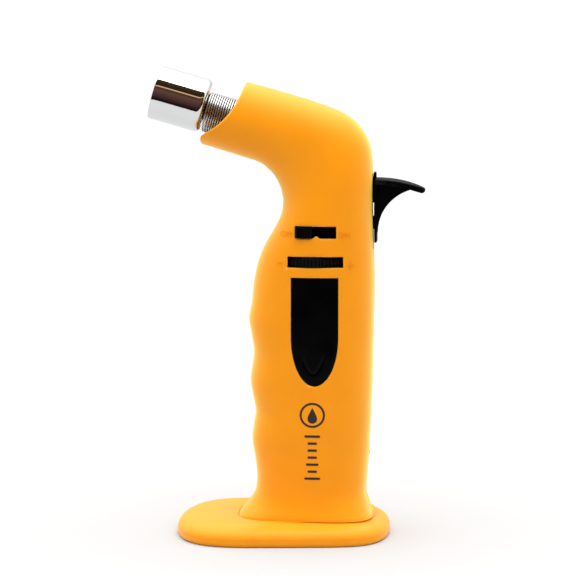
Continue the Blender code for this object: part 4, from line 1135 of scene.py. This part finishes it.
def dark_card():
    """The studio's dark side: only shiny surfaces see it, and it lights nothing."""
    near, far, low, high, half = -0.36, -0.5, 0.002, 1.2, 1.6
    bm = bmesh.new()
    rows = [[bm.verts.new((x, y, z)) for x in (-half, half)]
            for y, z in ((near, low), (far, low), (far, high))]
    for first, second in zip(rows, rows[1:]):
        bm.faces.new((first[0], first[1], second[1], second[0]))
    obj = finished(bm, "dark_card")
    made, tree, shader = wired("dark_card")
    where = tree.nodes.new("ShaderNodeTexCoord").outputs["Object"]
    split = added(tree, "ShaderNodeSeparateXYZ", {0: where})
    warm = (1.0, 0.60, 0.34)
    shade = ramped(tree, remap(tree, split.outputs["Z"], 0.0, 1.0, 0.0, high),
                   ((0.0, (0.015, 0.006, 0.008)), (0.14, (0.09, 0.043, 0.036)),
                    (0.28, (0.17, 0.075, 0.052)), (0.39, (0.06, 0.03, 0.02)),
                    (0.41, warm), (0.44, warm), (0.46, (0.04, 0.018, 0.006)),
                    (0.62, (0.04, 0.022, 0.010)), (0.9, (0.075, 0.050, 0.022)),
                    (1.0, (0.11, 0.09, 0.06))))
    fit(tree, shader, {"Emission Color": shade, "Emission Strength": 1.0,
                       "Base Color": (0.0, 0.0, 0.0, 1.0), "Specular IOR Level": 0.0})
    obj.data.materials.append(made)
    obj.visible_camera = obj.visible_diffuse = obj.visible_shadow = False
    obj.visible_transmission = obj.visible_volume_scatter = False


def world():
    """A soft dome, brighter overhead; the camera sees it as plain white."""
    made = bpy.data.worlds.new("studio")
    bpy.context.scene.world = made
    made.use_nodes = True
    tree = made.node_tree
    tree.nodes.clear()
    where = tree.nodes.new("ShaderNodeTexCoord").outputs["Generated"]
    split = added(tree, "ShaderNodeSeparateXYZ", {0: where}).outputs
    up = reckoned(tree, "POWER", reckoned(tree, "MAXIMUM", split["Z"], 0.0), 3.0)
    aside = reckoned(tree, "POWER", split["X"], 4.0)

    def dome(low, high, side):
        upper = reckoned(tree, "MULTIPLY_ADD", up, high - low, low)
        return reckoned(tree, "MULTIPLY_ADD", aside, side, upper)

    lit, mirrored, seen = (
        added(tree, "ShaderNodeBackground", {"Color": (1.0,) * 4, "Strength": strength}).outputs[0]
        for strength in (dome(*DOME), dome(*DOME_IN_MIRRORS), 1.1))
    rays = tree.nodes.new("ShaderNodeLightPath").outputs
    glossy = added(tree, "ShaderNodeMixShader",
                   {0: rays["Is Glossy Ray"], 1: lit, 2: mirrored}).outputs[0]
    camera_sees = added(tree, "ShaderNodeMixShader",
                        {0: rays["Is Camera Ray"], 1: glossy, 2: seen}).outputs[0]
    added(tree, "ShaderNodeOutputWorld", {"Surface": camera_sees})


def camera():
    azimuth, elevation, distance = radians(5.0), radians(8.3), 1.1
    target = Vector((0.0, 0.0, 0.085))
    back = Vector((sin(azimuth) * cos(elevation),
                   -cos(azimuth) * cos(elevation), sin(elevation)))
    data = bpy.data.cameras.new("camera")
    data.lens = 183.3
    data.shift_x, data.shift_y = 0.0035, 0.0365
    data.clip_start, data.clip_end = 0.01, 20.0
    obj = linked("camera", data)
    obj.location = target + back * distance
    obj.rotation_euler = (-back).to_track_quat("-Z", "Y").to_euler()
    bpy.context.scene.camera = obj


floor()
dark_card()
world()
camera()
bpy.context.scene.view_settings.view_transform = "Standard"
